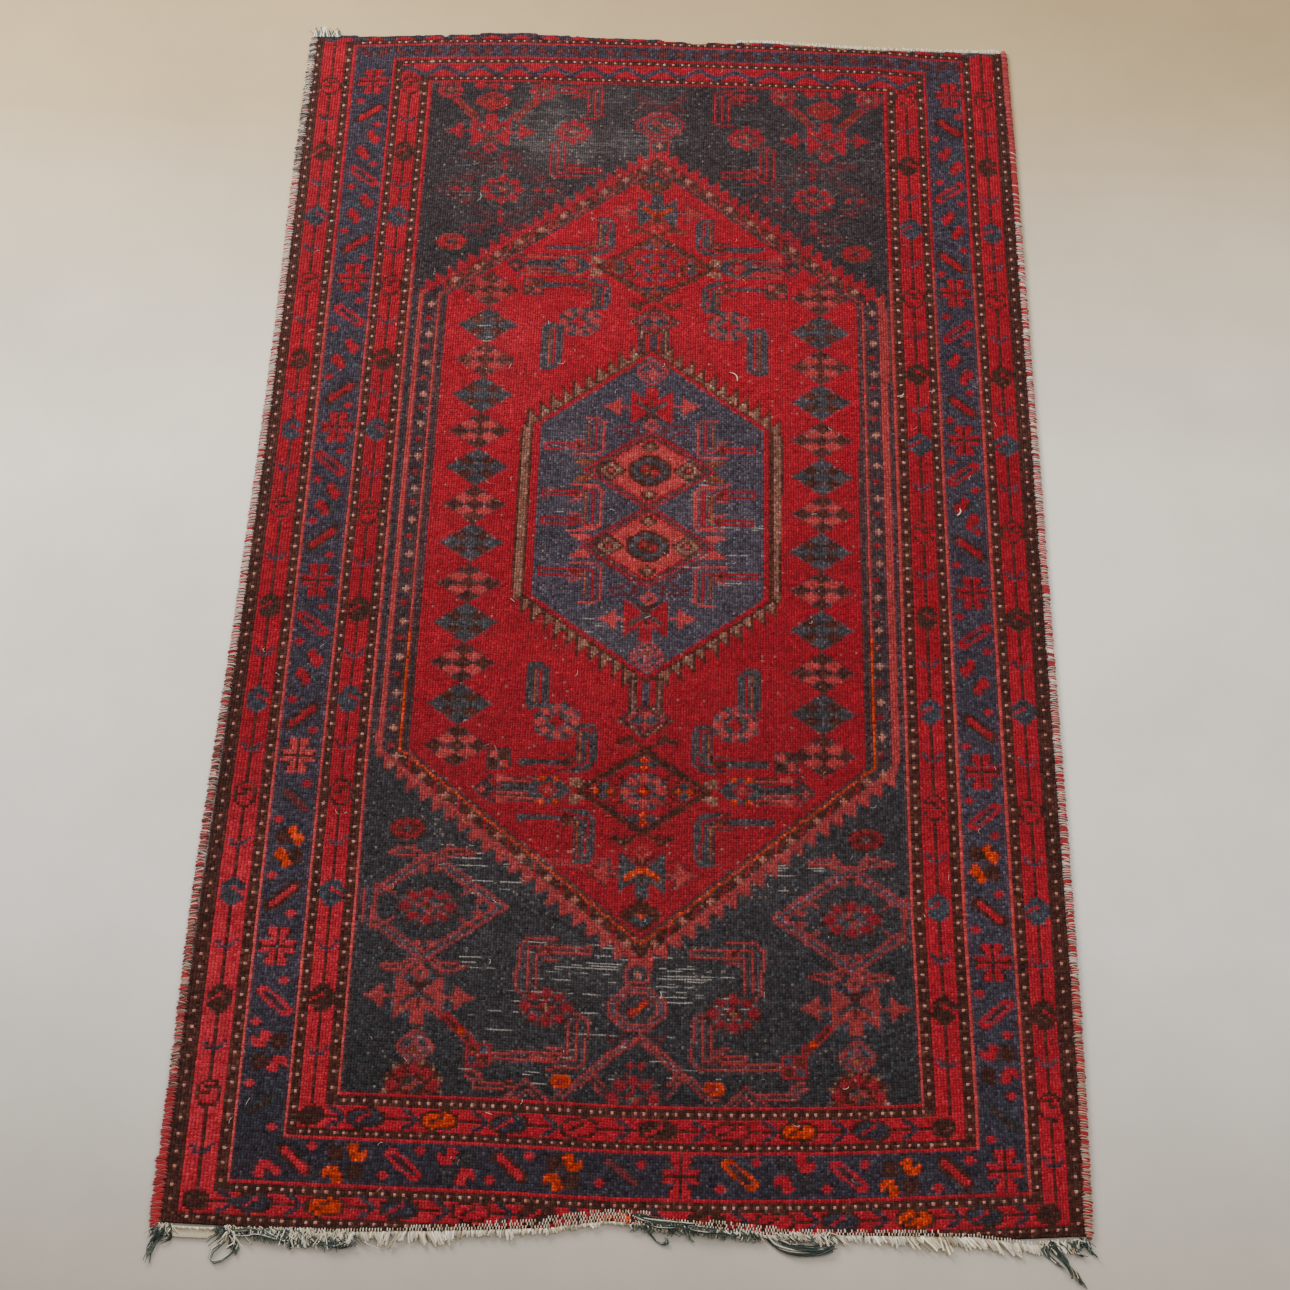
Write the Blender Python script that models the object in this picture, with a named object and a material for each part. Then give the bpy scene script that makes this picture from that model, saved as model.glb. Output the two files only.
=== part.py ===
"""Knotted wool village rug, lying flat: pile cloth, whipped side cords, end fringes and loose yarn.

Metres, +Z up. The rug's length runs along Y, its width along X, and the floor is z = 0.
The origin is the centre of the whole rug on the floor.
"""

import bmesh
import bpy
import math
import random

# Outlines of the finished rug, as (along, across) points from which smooth curves are read.
# Side cords: (y, x of the cord's outer side). Ends: (x, y of the last knot row).
LEFT_SIDE = ((-1.090, -0.6345), (-0.850, -0.6350), (-0.600, -0.6375), (-0.350, -0.6332),
             (-0.150, -0.6288), (0.250, -0.6252), (0.460, -0.6250), (0.760, -0.6276), (1.120, -0.6265))
RIGHT_SIDE = ((-1.075, 0.6329), (-0.840, 0.6370), (-0.640, 0.6375), (0.250, 0.6321),
              (0.650, 0.6295), (0.850, 0.6277), (1.105, 0.6235))
LOWER_END = ((-0.632, -1.086), (-0.380, -1.090), (-0.190, -1.082), (-0.100, -1.077), (-0.020, -1.066),
             (0.090, -1.071), (0.190, -1.080), (0.470, -1.076), (0.550, -1.085), (0.632, -1.077))
UPPER_END = ((-0.622, 1.122), (-0.430, 1.125), (-0.300, 1.134), (-0.235, 1.135), (-0.150, 1.127),
             (-0.020, 1.124), (0.060, 1.116), (0.190, 1.118), (0.360, 1.105), (0.626, 1.098))

PART_GAP = 0.0004

# Pile cloth: foundation and pile together, fuller in the borders than in the worn field.
CLOTH_THICKNESS = 0.0060
FIELD_WEAR = 0.0009
BORDER_WIDTH = 0.215
WEAR_BLEND = 0.060
CLOTH_CELLS_ACROSS = 26
CLOTH_CELLS_ALONG = 46
NOMINAL_HALF_WIDTH = 0.626

# Places where the lower end stands off the floor: (centre x, half width, rise).
LOWER_END_LIFTS = ((-0.350, 0.130, 0.0030), (0.060, 0.110, 0.0024))
LIFT_DEPTH = 0.070

# Side cords: the outer warps, whipped with yarn into a flattened round.
CORD_WIDTH = 0.0100
CORD_HEIGHT = 0.0066
CORD_SIDES = 10
CORD_STATIONS = 44
CORD_END_TAPER = 0.012
CORD_TIP_SCALE = 0.6

# End fringes: cut warps standing out of a narrow band of plain weave.
BAND_THICKNESS = 0.0024
STRAND_PITCH = 0.0063
STRAND_WIDTH = 0.0024
STRAND_TIP_SCALE = 0.55
STRAND_JOINTS = 3
STRAND_SETTLE = 0.6
LOWER_BAND_DEPTH = 0.0050
LOWER_BAND_SPAN = (-0.6225, 0.6210)
LOWER_STRAND_LENGTH = (0.010, 0.019)
UPPER_BAND_DEPTH = 0.0030
UPPER_BAND_SPAN = (0.1700, 0.6120)
UPPER_STRAND_LENGTH = (0.0035, 0.0070)
STRAND_SLANT = 0.22
STRAND_SWAY_RATE = 23.0
STRAND_SLANT_JITTER = 0.0010

# Green securing yarn come loose: (name, x of its middle, width, strands, length, slant, at the upper end).
LOOSE_YARN = (("green_yarn_corner_left", -0.6100, 0.016, 3, 0.0464, -0.16, False),
              ("green_yarn_left", -0.5180, 0.046, 7, 0.0330, -0.20, False),
              ("green_yarn_mid_left", -0.4000, 0.060, 8, 0.0190, 0.10, False),
              ("green_yarn_middle", 0.0620, 0.080, 6, 0.0120, 0.15, False),
              ("green_yarn_mid_right", 0.2350, 0.070, 5, 0.0140, 0.30, False),
              ("green_yarn_corner_right", 0.5900, 0.034, 6, 0.0470, 0.25, False),
              ("green_yarn_top_left", -0.5990, 0.036, 5, 0.0160, -0.25, True))
YARN_BAR_DEPTH = 0.0030
YARN_THICKNESS = 0.0026
YARN_STRAND_WIDTH = 0.0030
YARN_CLEARANCE = 0.0040
YARN_UNEVENNESS = 0.45
YARN_UNEVEN_STEP = 2.6

SEED = 11

COLORS = {"pile": (0.247, 0.032, 0.038, 1.0), "side_cord": (0.300, 0.045, 0.045, 1.0),
          "warp": (0.620, 0.570, 0.470, 1.0), "green_yarn": (0.030, 0.066, 0.068, 1.0)}


def smooth_value(table, along):
    """Read a smooth curve through the table's (along, value) points; it stays level past its ends."""
    if along <= table[0][0]:
        return table[0][1]
    if along >= table[-1][0]:
        return table[-1][1]
    last = len(table) - 1
    index = max(i for i in range(last) if table[i][0] <= along)
    (x1, v1), (x2, v2) = table[index], table[index + 1]
    x0, v0 = table[max(index - 1, 0)]
    x3, v3 = table[min(index + 2, last)]
    span = x2 - x1
    t = (along - x1) / span
    slope1 = (v2 - v0) / (x2 - x0) * span
    slope2 = (v3 - v1) / (x3 - x1) * span
    blend = t * t * (3.0 - 2.0 * t)
    return v1 + (v2 - v1) * blend + slope1 * t * (1.0 - t) ** 2 - slope2 * (1.0 - t) * t * t


def smooth_step(low, high, value):
    """Go from 0 to 1 as value goes from low to high."""
    t = min(max((value - low) / (high - low), 0.0), 1.0)
    return t * t * (3.0 - 2.0 * t)


def cloth_side(y, side):
    """Return the x of the cloth's own edge, inside the whipped cord."""
    if side < 0:
        return smooth_value(LEFT_SIDE, y) + CORD_WIDTH + PART_GAP
    return smooth_value(RIGHT_SIDE, y) - CORD_WIDTH - PART_GAP


def lift_at(x, y):
    """Return how far the underside stands off the floor."""
    from_end = y - smooth_value(LOWER_END, x)
    fade = 1.0 - smooth_step(0.0, LIFT_DEPTH, from_end)
    rise = 0.0
    for centre, half_width, height in LOWER_END_LIFTS:
        across = min(abs(x - centre) / half_width, 1.0)
        rise += height * 0.5 * (1.0 + math.cos(math.pi * across))
    return rise * fade


def thickness_at(x, y):
    """Return the cloth's thickness: full in the borders and worn in the field."""
    from_side = min(x - cloth_side(y, -1), cloth_side(y, 1) - x)
    from_end = min(y - smooth_value(LOWER_END, x), smooth_value(UPPER_END, x) - y)
    inside = smooth_step(BORDER_WIDTH - WEAR_BLEND, BORDER_WIDTH, from_side)
    inside *= smooth_step(BORDER_WIDTH - WEAR_BLEND, BORDER_WIDTH, from_end)
    return CLOTH_THICKNESS - FIELD_WEAR * inside


def make_material(name):
    """Make a Principled material in one of the rug's colours."""
    material = bpy.data.materials.new(name)
    material.use_nodes = True
    shader = material.node_tree.nodes["Principled BSDF"]
    shader.inputs["Base Color"].default_value = COLORS[name]
    shader.inputs["Roughness"].default_value = 0.9
    shader.inputs["Metallic"].default_value = 0.0
    return material


def add_object(name, points, faces, material):
    """Make one closed mesh object, turn its faces outwards and give it its material."""
    mesh = bpy.data.meshes.new(name)
    mesh.from_pydata(points, [], faces)
    shell = bmesh.new()
    shell.from_mesh(mesh)
    bmesh.ops.recalc_face_normals(shell, faces=shell.faces)
    shell.to_mesh(mesh)
    shell.free()
    mesh.materials.append(material)
    built = bpy.data.objects.new(name, mesh)
    bpy.context.scene.collection.objects.link(built)
    return built


def cloth_point(across, along):
    """Return the plan position of a grid point, both fractions from 0 to 1."""
    nominal_x = NOMINAL_HALF_WIDTH * (2.0 * across - 1.0)
    low = smooth_value(LOWER_END, nominal_x)
    high = smooth_value(UPPER_END, nominal_x)
    y = low + (high - low) * along
    left = cloth_side(y, -1)
    right = cloth_side(y, 1)
    return left + (right - left) * across, y


def add_pile_cloth(material):
    """Model the knotted cloth as one sheet: an even grid above and another below, closed round the edge."""
    columns = CLOTH_CELLS_ACROSS + 1
    rows = CLOTH_CELLS_ALONG + 1
    under = []
    upper = []
    for row in range(rows):
        for column in range(columns):
            x, y = cloth_point(column / CLOTH_CELLS_ACROSS, row / CLOTH_CELLS_ALONG)
            z = lift_at(x, y)
            under.append((x, y, z))
            upper.append((x, y, z + thickness_at(x, y)))
    points = under + upper
    shift = len(under)
    faces = []
    for row in range(CLOTH_CELLS_ALONG):
        for column in range(CLOTH_CELLS_ACROSS):
            a = row * columns + column
            b, c, d = a + 1, a + columns + 1, a + columns
            faces.append((a, d, c, b))
            faces.append((a + shift, b + shift, c + shift, d + shift))
    rim = list(range(columns))
    rim += [row * columns + columns - 1 for row in range(1, rows)]
    rim += [(rows - 1) * columns + column for column in range(columns - 2, -1, -1)]
    rim += [row * columns for row in range(rows - 2, 0, -1)]
    for here, following in zip(rim, rim[1:] + rim[:1]):
        faces.append((here, following, following + shift, here + shift))
    return add_object("pile_cloth", points, faces, material)


def add_side_cord(name, side, material):
    """Model one whipped side cord: a flattened round along the cloth's edge, narrower at its two ends."""
    table = LEFT_SIDE if side < 0 else RIGHT_SIDE
    start, finish = table[0][0], table[-1][0]
    turn = 2.0 * math.pi / CORD_SIDES
    flat_reach = math.cos(0.5 * turn)
    points = []
    faces = []
    for station in range(CORD_STATIONS + 1):
        y = start + (finish - start) * station / CORD_STATIONS
        from_tip = min(y - start, finish - y)
        scale = CORD_TIP_SCALE + (1.0 - CORD_TIP_SCALE) * smooth_step(0.0, CORD_END_TAPER, from_tip)
        centre_x = smooth_value(table, y) - side * 0.5 * CORD_WIDTH
        for corner in range(CORD_SIDES):
            angle = (corner + 0.5) * turn - 0.5 * math.pi
            points.append((centre_x + 0.5 * CORD_WIDTH * scale * math.cos(angle), y,
                           0.5 * CORD_HEIGHT * scale * (1.0 + math.sin(angle) / flat_reach)))
    for station in range(CORD_STATIONS):
        for corner in range(CORD_SIDES):
            a = station * CORD_SIDES + corner
            b = station * CORD_SIDES + (corner + 1) % CORD_SIDES
            faces.append((a, b, b + CORD_SIDES, a + CORD_SIDES))
    faces.append(tuple(range(CORD_SIDES)))
    faces.append(tuple(CORD_STATIONS * CORD_SIDES + corner for corner in range(CORD_SIDES)))
    return add_object(name, points, faces, material)


def strand_rings(root_left, root_right, length, slant, outward, thickness):
    """Return the rings of one four-sided strand that leaves a band's outer face and lies on the floor."""
    rings = []
    for joint in range(1, STRAND_JOINTS + 1):
        reach = joint / STRAND_JOINTS
        scale = 1.0 + (STRAND_TIP_SCALE - 1.0) * reach
        middle = 0.5 * (root_left[0] + root_right[0]) + slant * length * reach * reach
        half_width = 0.5 * (root_right[0] - root_left[0]) * scale
        y = 0.5 * (root_left[1] + root_right[1]) + outward * length * reach
        low = root_left[2] * (1.0 - smooth_step(0.0, STRAND_SETTLE, reach))
        high = low + thickness * scale
        rings.append([(middle - half_width, y, low), (middle + half_width, y, low),
                      (middle + half_width, y, high), (middle - half_width, y, high)])
    return rings


def add_band_with_strands(name, slots, inner_edge, depth, outward, thickness, material):
    """Model a narrow band whose outer face sends out strands.

    slots is a list of (left x, right x, strand) along X, where strand is None or (length, slant).
    inner_edge gives the band's inner (y, z) at an x. outward is -1 at the lower end and 1 at the upper.
    """
    points = []
    faces = []
    sections = []
    for x in [slots[0][0]] + [slot[1] for slot in slots]:
        y, z = inner_edge(x)
        first = len(points)
        points.extend([(x, y, z), (x, y, z + thickness),
                       (x, y + outward * depth, z + thickness), (x, y + outward * depth, z)])
        sections.append(tuple(range(first, first + 4)))
    for left, right, slot in zip(sections, sections[1:], slots):
        for corner, following in ((0, 1), (1, 2), (3, 0)):
            faces.append((left[corner], right[corner], right[following], left[following]))
        previous = (left[3], right[3], right[2], left[2])
        if slot[2] is not None:
            length, slant = slot[2]
            for ring in strand_rings(points[left[3]], points[right[3]], length, slant, outward, thickness):
                first = len(points)
                points.extend(ring)
                current = tuple(range(first, first + 4))
                for corner in range(4):
                    following = (corner + 1) % 4
                    faces.append((previous[corner], previous[following],
                                  current[following], current[corner]))
                previous = current
        faces.append(previous)
    faces.append(sections[0])
    faces.append(sections[-1])
    return add_object(name, points, faces, material)


def strand_slot_trio(left, right, width, strand):
    """Return the bare slot, the strand's slot and the next bare slot of one pitch."""
    middle = 0.5 * (left + right)
    return [(left, middle - 0.5 * width, None), (middle - 0.5 * width, middle + 0.5 * width, strand),
            (middle + 0.5 * width, right, None)]


def warp_slots(span, length_range, covered, rng):
    """Divide a band into warp ends and the gaps between them, bare where green yarn covers it."""
    count = round((span[1] - span[0]) / STRAND_PITCH)
    step = (span[1] - span[0]) / count
    slots = []
    for index in range(count):
        left = span[0] + index * step
        middle = left + 0.5 * step
        length = rng.uniform(*length_range)
        slant = STRAND_SLANT * math.sin(STRAND_SWAY_RATE * middle)
        slant += rng.uniform(-1.0, 1.0) * STRAND_SLANT_JITTER / length
        if any(low <= middle <= high for low, high in covered):
            slots.append((left, left + step, None))
        else:
            slots.extend(strand_slot_trio(left, left + step, STRAND_WIDTH, (length, slant)))
    return slots


def cloth_end_y(x, along):
    """Return the y of the modelled cloth's straight-sided end at x: along is 0 below and 1 above."""
    corners = [cloth_point(column / CLOTH_CELLS_ACROSS, along) for column in range(CLOTH_CELLS_ACROSS + 1)]
    for (x1, y1), (x2, y2) in zip(corners, corners[1:]):
        if x <= x2:
            return y1 + (y2 - y1) * (x - x1) / (x2 - x1)
    return corners[-1][1]


def lower_edge_point(x, distance):
    """Return (y, z) a distance outside the lower end of the cloth, following its lifts."""
    edge = cloth_end_y(x, 0.0)
    return edge - distance, lift_at(x, edge)


def upper_edge_point(x, distance):
    """Return (y, z) a distance outside the upper end of the cloth."""
    return cloth_end_y(x, 1.0) + distance, 0.0


def add_lower_fringe(material, rng):
    """Model the lower fringe: warps cut to uneven lengths, out of a narrow woven band."""
    covered = [(middle - 0.5 * width - YARN_CLEARANCE, middle + 0.5 * width + YARN_CLEARANCE)
               for _, middle, width, _, _, _, at_top in LOOSE_YARN if not at_top]
    slots = warp_slots(LOWER_BAND_SPAN, LOWER_STRAND_LENGTH, covered, rng)
    return add_band_with_strands("lower_fringe", slots, lambda x: lower_edge_point(x, PART_GAP),
                                 LOWER_BAND_DEPTH, -1, BAND_THICKNESS, material)


def add_upper_fringe(material, rng):
    """Model the upper fringe: short warp ends along the right-hand part of the upper end."""
    slots = warp_slots(UPPER_BAND_SPAN, UPPER_STRAND_LENGTH, [], rng)
    return add_band_with_strands("upper_fringe", slots, lambda x: upper_edge_point(x, PART_GAP),
                                 UPPER_BAND_DEPTH, 1, BAND_THICKNESS, material)


def add_loose_yarn(material):
    """Model each place where the green securing yarn has come loose: a bar with trailing strands."""
    lower_distance = 2.0 * PART_GAP + LOWER_BAND_DEPTH
    for name, middle, width, count, length, slant, at_top in LOOSE_YARN:
        step = width / count
        slots = []
        for index in range(count):
            left = middle - 0.5 * width + index * step
            shortening = YARN_UNEVENNESS * 0.5 * (1.0 - math.cos(YARN_UNEVEN_STEP * index))
            slots.extend(strand_slot_trio(left, left + step, YARN_STRAND_WIDTH,
                                          (length * (1.0 - shortening), slant)))
        if at_top:
            add_band_with_strands(name, slots, lambda x: upper_edge_point(x, PART_GAP),
                                  YARN_BAR_DEPTH, 1, YARN_THICKNESS, material)
        else:
            add_band_with_strands(name, slots, lambda x: lower_edge_point(x, lower_distance),
                                  YARN_BAR_DEPTH, -1, YARN_THICKNESS, material)


def build_rug():
    """Clear the scene and model the rug's pieces."""
    for old in list(bpy.data.objects):
        bpy.data.objects.remove(old, do_unlink=True)
    rng = random.Random(SEED)
    materials = {name: make_material(name) for name in COLORS}
    add_pile_cloth(materials["pile"])
    add_side_cord("side_cord_left", -1, materials["side_cord"])
    add_side_cord("side_cord_right", 1, materials["side_cord"])
    add_lower_fringe(materials["warp"], rng)
    add_upper_fringe(materials["warp"], rng)
    add_loose_yarn(materials["green_yarn"])


build_rug()
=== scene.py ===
"""A worn hand-knotted village rug lying on a plain floor: knotted pile, whipped sides, fringes, loose yarn."""
import math

import bpy
import numpy as np
from mathutils import Matrix, Vector


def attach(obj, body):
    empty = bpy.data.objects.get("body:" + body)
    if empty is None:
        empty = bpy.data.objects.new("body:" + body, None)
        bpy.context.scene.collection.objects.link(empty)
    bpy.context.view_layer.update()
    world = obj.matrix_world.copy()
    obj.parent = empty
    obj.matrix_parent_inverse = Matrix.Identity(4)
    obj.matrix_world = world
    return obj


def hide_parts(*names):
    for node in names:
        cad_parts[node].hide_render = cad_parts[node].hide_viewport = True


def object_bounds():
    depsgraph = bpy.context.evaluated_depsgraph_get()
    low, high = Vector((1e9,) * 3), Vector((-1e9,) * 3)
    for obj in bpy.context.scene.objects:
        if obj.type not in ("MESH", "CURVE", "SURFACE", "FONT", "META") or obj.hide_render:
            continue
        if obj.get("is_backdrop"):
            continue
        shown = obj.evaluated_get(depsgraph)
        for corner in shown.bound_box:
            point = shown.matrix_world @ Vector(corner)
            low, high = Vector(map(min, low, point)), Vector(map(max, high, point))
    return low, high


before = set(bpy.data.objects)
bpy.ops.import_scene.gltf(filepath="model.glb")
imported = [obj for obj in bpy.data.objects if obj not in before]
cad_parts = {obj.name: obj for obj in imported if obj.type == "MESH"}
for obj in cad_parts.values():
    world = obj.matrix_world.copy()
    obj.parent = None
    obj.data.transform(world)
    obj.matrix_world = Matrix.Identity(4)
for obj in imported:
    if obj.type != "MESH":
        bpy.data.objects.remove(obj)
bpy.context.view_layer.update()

# Pile cloth, its cartoon. The real one is the weaver's plan of coloured knots, here 302 knots wide.
# It is drawn in millimetres across (u) and down (v) as laid out flat, from the frames of the border
# inwards, and each knot takes the dye of the shape that it lies in.
COLUMNS = 302
SIDE_COLUMNS = 51
FOOT_ROWS, FIELD_ROWS, HEAD_ROWS = 48, 473, 32
ROWS = FOOT_ROWS + FIELD_ROWS + HEAD_ROWS

# Where the cartoon's corners lie on the floor: (u, v, x, y), millimetres and metres.
CORNERS = ((40, 40, -0.6180, 1.1212), (1290, 40, 0.6309, 1.1066),
           (1290, 2240, 0.6289, -1.0795), (40, 2240, -0.6210, -1.0936))

# Edges that wander, as (v, u) down the sides and (u, v) along the ends of the field.
PILE_LEFT = ((100, 38.5), (460, 42), (900, 44), (1300, 42.5), (1500, 40), (1760, 36), (2000, 36), (2230, 37))
FIELD_LEFT = ((120, 255.6), (900, 255.6), (1500, 256.5), (1760, 261), (2040, 263))
FIELD_RIGHT = ((150, 1057), (460, 1057), (900, 1059), (1760, 1061), (2048, 1068))
PILE_RIGHT = ((100, 1275.5), (460, 1277.5), (900, 1281), (1760, 1286), (2230, 1287))
FIELD_HEAD = ((40, 164), (113, 157), (184, 153), (275, 147), (420, 142.5), (634, 144), (787, 146), (900, 149),
              (1061, 153), (1125, 160), (1205, 164.5), (1290, 169))
FIELD_FOOT = ((40, 2031), (123, 2034.6), (260, 2040), (450, 2045.5), (652, 2054.5), (800, 2056), (950, 2053),
              (1069, 2047), (1211, 2039.6), (1290, 2035))

# The border's ten stripes from the outside in, as knots and as millimetres to each stripe's inner edge.
SIDE_KNOTS = (5, 9, 3, 1, 16, 1, 3, 9, 3, 1)
SIDE_EDGES = {-1: ((18, 57, 70, 76, 142, 147, 159, 194, 207, 213.6), (23.5, 68, 84, 88, 154, 158, 171, 207, 222, 226)),
              1: ((20, 61, 74, 80, 143, 148, 161, 200, 215, 222), (23, 59, 74, 79, 144, 149, 164, 204, 220, 224))}
FOOT_KNOTS = (4, 8, 3, 1, 15, 1, 3, 9, 3, 1)
FOOT_EDGES = (15, 46, 59, 64, 126, 131, 142, 177, 191.5, 196)
HEAD_KNOTS = (0, 5, 3, 1, 7, 1, 3, 8, 3, 1)
HEAD_EDGES = (0, 20, 29.5, 34, 64, 69, 79, 111, 120.5, 125)


def wander(table, along):
    """Read a wandering edge at any place along it."""
    places, values = zip(*table)
    return np.interp(along, places, values)


def floor_map(corners):
    """Return the 3 x 3 map that takes the cartoon's (u, v, 1) to the floor's (x, y, 1)."""
    left, right = [], []
    for u, v, x, y in corners:
        left += [[u, v, 1, 0, 0, 0, -u * x, -v * x], [0, 0, 0, u, v, 1, -u * y, -v * y]]
        right += [x, y]
    return np.append(np.linalg.solve(np.array(left, float), np.array(right, float)), 1.0).reshape(3, 3)


FLOOR_MAP = floor_map(CORNERS)


def on_floor(u, v):
    """Return the floor's x and y, in metres, of places on the cartoon."""
    a = FLOOR_MAP
    scale = a[2, 0] * u + a[2, 1] * v + 1.0
    return (a[0, 0] * u + a[0, 1] * v + a[0, 2]) / scale, (a[1, 0] * u + a[1, 1] * v + a[1, 2]) / scale


def stripe_places(knots, edges):
    """Return the millimetres from the outer edge at each knot boundary across the stripes."""
    bounds = np.cumsum((0,) + tuple(knots))
    return np.interp(np.arange(bounds[-1] + 1), bounds, (0,) + tuple(edges))


def cartoon_places(column, row):
    """Return u and v of knot boundaries: columns from the left and rows from the lower end, with fractions."""
    u = 40.0 + 1245.0 * column / COLUMNS
    side_places = {side: [stripe_places(SIDE_KNOTS, edges) for edges in SIDE_EDGES[side]] for side in (-1, 1)}
    foot = stripe_places(FOOT_KNOTS, FOOT_EDGES)
    head = stripe_places(HEAD_KNOTS, HEAD_EDGES)
    for _ in range(3):
        v_foot = wander(FIELD_FOOT, u)
        v_head = wander(FIELD_HEAD, u)
        below = np.interp(row, np.arange(FOOT_ROWS + 1), FOOT_EDGES[-1] - foot)
        above = np.interp(ROWS - row, np.arange(HEAD_ROWS + 1), HEAD_EDGES[-1] - head)
        inside = np.clip((row - FOOT_ROWS) / FIELD_ROWS, 0.0, 1.0)
        v = np.where(row <= FOOT_ROWS, v_foot + below,
                     np.where(row >= ROWS - HEAD_ROWS, v_head - above, v_foot + (v_head - v_foot) * inside))
        down = np.clip((v - 300.0) / 1700.0, -0.2, 1.2)
        edges = {}
        for side, count in ((-1, column), (1, COLUMNS - column)):
            upper, lower = (np.interp(count, np.arange(SIDE_COLUMNS + 1), p) for p in side_places[side])
            edges[side] = upper + (lower - upper) * down
        full = {side: SIDE_EDGES[side][0][-1] + (SIDE_EDGES[side][1][-1] - SIDE_EDGES[side][0][-1]) * down
                for side in (-1, 1)}
        outer_left, inner_left = wander(PILE_LEFT, v), wander(FIELD_LEFT, v)
        outer_right, inner_right = wander(PILE_RIGHT, v), wander(FIELD_RIGHT, v)
        in_field = inner_left + (inner_right - inner_left) * (column - SIDE_COLUMNS) / (COLUMNS - 2 * SIDE_COLUMNS)
        left = outer_left + (inner_left - outer_left) * edges[-1] / full[-1]
        right = outer_right - (outer_right - inner_right) * edges[1] / full[1]
        u = np.where(column <= SIDE_COLUMNS, left, np.where(column >= COLUMNS - SIDE_COLUMNS, right, in_field))
    return u, v


KNOT_COLUMN, KNOT_ROW = np.meshgrid(np.arange(COLUMNS) + 0.5, np.arange(ROWS) + 0.5)
U, V = cartoon_places(KNOT_COLUMN, KNOT_ROW)

DYES = "bkrnpotcumvgsd"
chart = np.full((ROWS, COLUMNS), DYES.index("k"), np.uint8)


def tie(where, letter):
    """Tie the knots of one part of the chart in one dye."""
    chart[where] = DYES.index(letter)


def dyed(letters):
    """Return where the chart has any of these dyes."""
    return np.isin(chart, [DYES.index(letter) for letter in letters])


def middle_of(knots, number):
    """Return the middle knot of a stripe, counted from the outer edge."""
    return sum(knots[:number]) + knots[number] // 2


class Spot:
    """A place on the cartoon to draw at, snapped to its nearest knot, mirrored by side or turned over by flip."""

    def __init__(self, u, v, side=1, flip=1, reach=130.0):
        column = int(np.argmin(np.abs(U[ROWS // 2] - u)))
        row = int(np.argmin(np.abs(V[:, column] - v)))
        column = int(np.argmin(np.abs(U[row] - u)))
        self.row, self.column, self.side, self.flip = row, column, side, flip
        span = int(reach / 3.4) + 3
        window = (slice(max(row - span, 0), row + span), slice(max(column - span, 0), column + span))
        self.view = chart[window]
        self.a = side * (U[window] - U[row, column])
        self.b = flip * (V[window] - V[row, column])

    def dye(self, mask, letter):
        self.view[mask] = DYES.index(letter)

    def box(self, a, b, half_a, half_b, letter):
        self.dye((np.abs(self.a - a) <= half_a) & (np.abs(self.b - b) <= half_b), letter)

    def lozenge(self, a, b, half_a, half_b, letter):
        self.dye(np.abs(self.a - a) / half_a + np.abs(self.b - b) / half_b <= 1.0, letter)

    def lozenges(self, half_a, half_b, letter, *places):
        """Dye the same lozenge at several places."""
        for a, b in places:
            self.lozenge(a, b, half_a, half_b, letter)

    def rings(self, a, b, *sizes):
        """Dye lozenges one inside another, the outermost first: half width, half height and dye of each."""
        for half_a, half_b, letter in sizes:
            self.lozenge(a, b, half_a, half_b, letter)

    def gem(self, a, b, half_a, half_b, letter, cut=1.42):
        """A box with its corners cut off."""
        across, down = np.abs(self.a - a) / half_a, np.abs(self.b - b) / half_b
        self.dye((across <= 1.0) & (down <= 1.0) & (across + down <= cut), letter)

    def path(self, points, width, letter):
        """A run of straight lines, each width thick across its longer direction; a thin one is a single knot."""
        width = 4.0 if width < 4.7 else width
        for (a0, b0), (a1, b1) in zip(points, points[1:]):
            if abs(a1 - a0) >= abs(b1 - b0):
                t = np.clip((self.a - a0) / ((a1 - a0) or 1.0), 0.0, 1.0)
                near = (self.a >= min(a0, a1) - 2.1) & (self.a <= max(a0, a1) + 2.1)
                self.dye(near & self.within(self.b - b0 - t * (b1 - b0), width), letter)
            else:
                t = np.clip((self.b - b0) / (b1 - b0), 0.0, 1.0)
                near = (self.b >= min(b0, b1) - 2.1) & (self.b <= max(b0, b1) + 2.1)
                self.dye(near & self.within(self.a - a0 - t * (a1 - a0), width), letter)

    @staticmethod
    def within(away, width):
        return (away > -0.5 * width) & (away <= 0.5 * width)

    def paths(self, width, letter, *lines):
        """Dye several lines of one width."""
        for line in lines:
            self.path(line, width, letter)

    def bar(self, a0, b0, a1, b1, half, letter):
        """A slanting bar with rounded ends."""
        length2 = (a1 - a0) ** 2 + (b1 - b0) ** 2
        t = np.clip(((self.a - a0) * (a1 - a0) + (self.b - b0) * (b1 - b0)) / length2, 0.0, 1.0)
        away = np.hypot(self.a - a0 - t * (a1 - a0), self.b - b0 - t * (b1 - b0))
        self.dye(away <= half, letter)

    def knots(self, lines, dyes=None):
        """Tie a small charted figure, a letter for each knot and a point for what is left as it is."""
        high, wide = len(lines), len(lines[0])
        for i, line in enumerate(lines):
            for j, letter in enumerate(line):
                row = self.row - self.flip * (i - high // 2)
                column = self.column + self.side * (j - wide // 2)
                if letter != "." and 0 <= row < ROWS and 0 <= column < COLUMNS:
                    chart[row, column] = DYES.index((dyes or {}).get(letter, letter))


def stripe_codes(knots, total):
    """Return the stripe number of each knot from the outer edge, and 10 inside the border."""
    codes = np.full(total, 10)
    codes[:sum(knots)] = np.repeat(np.arange(len(knots)), knots)
    return codes


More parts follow.
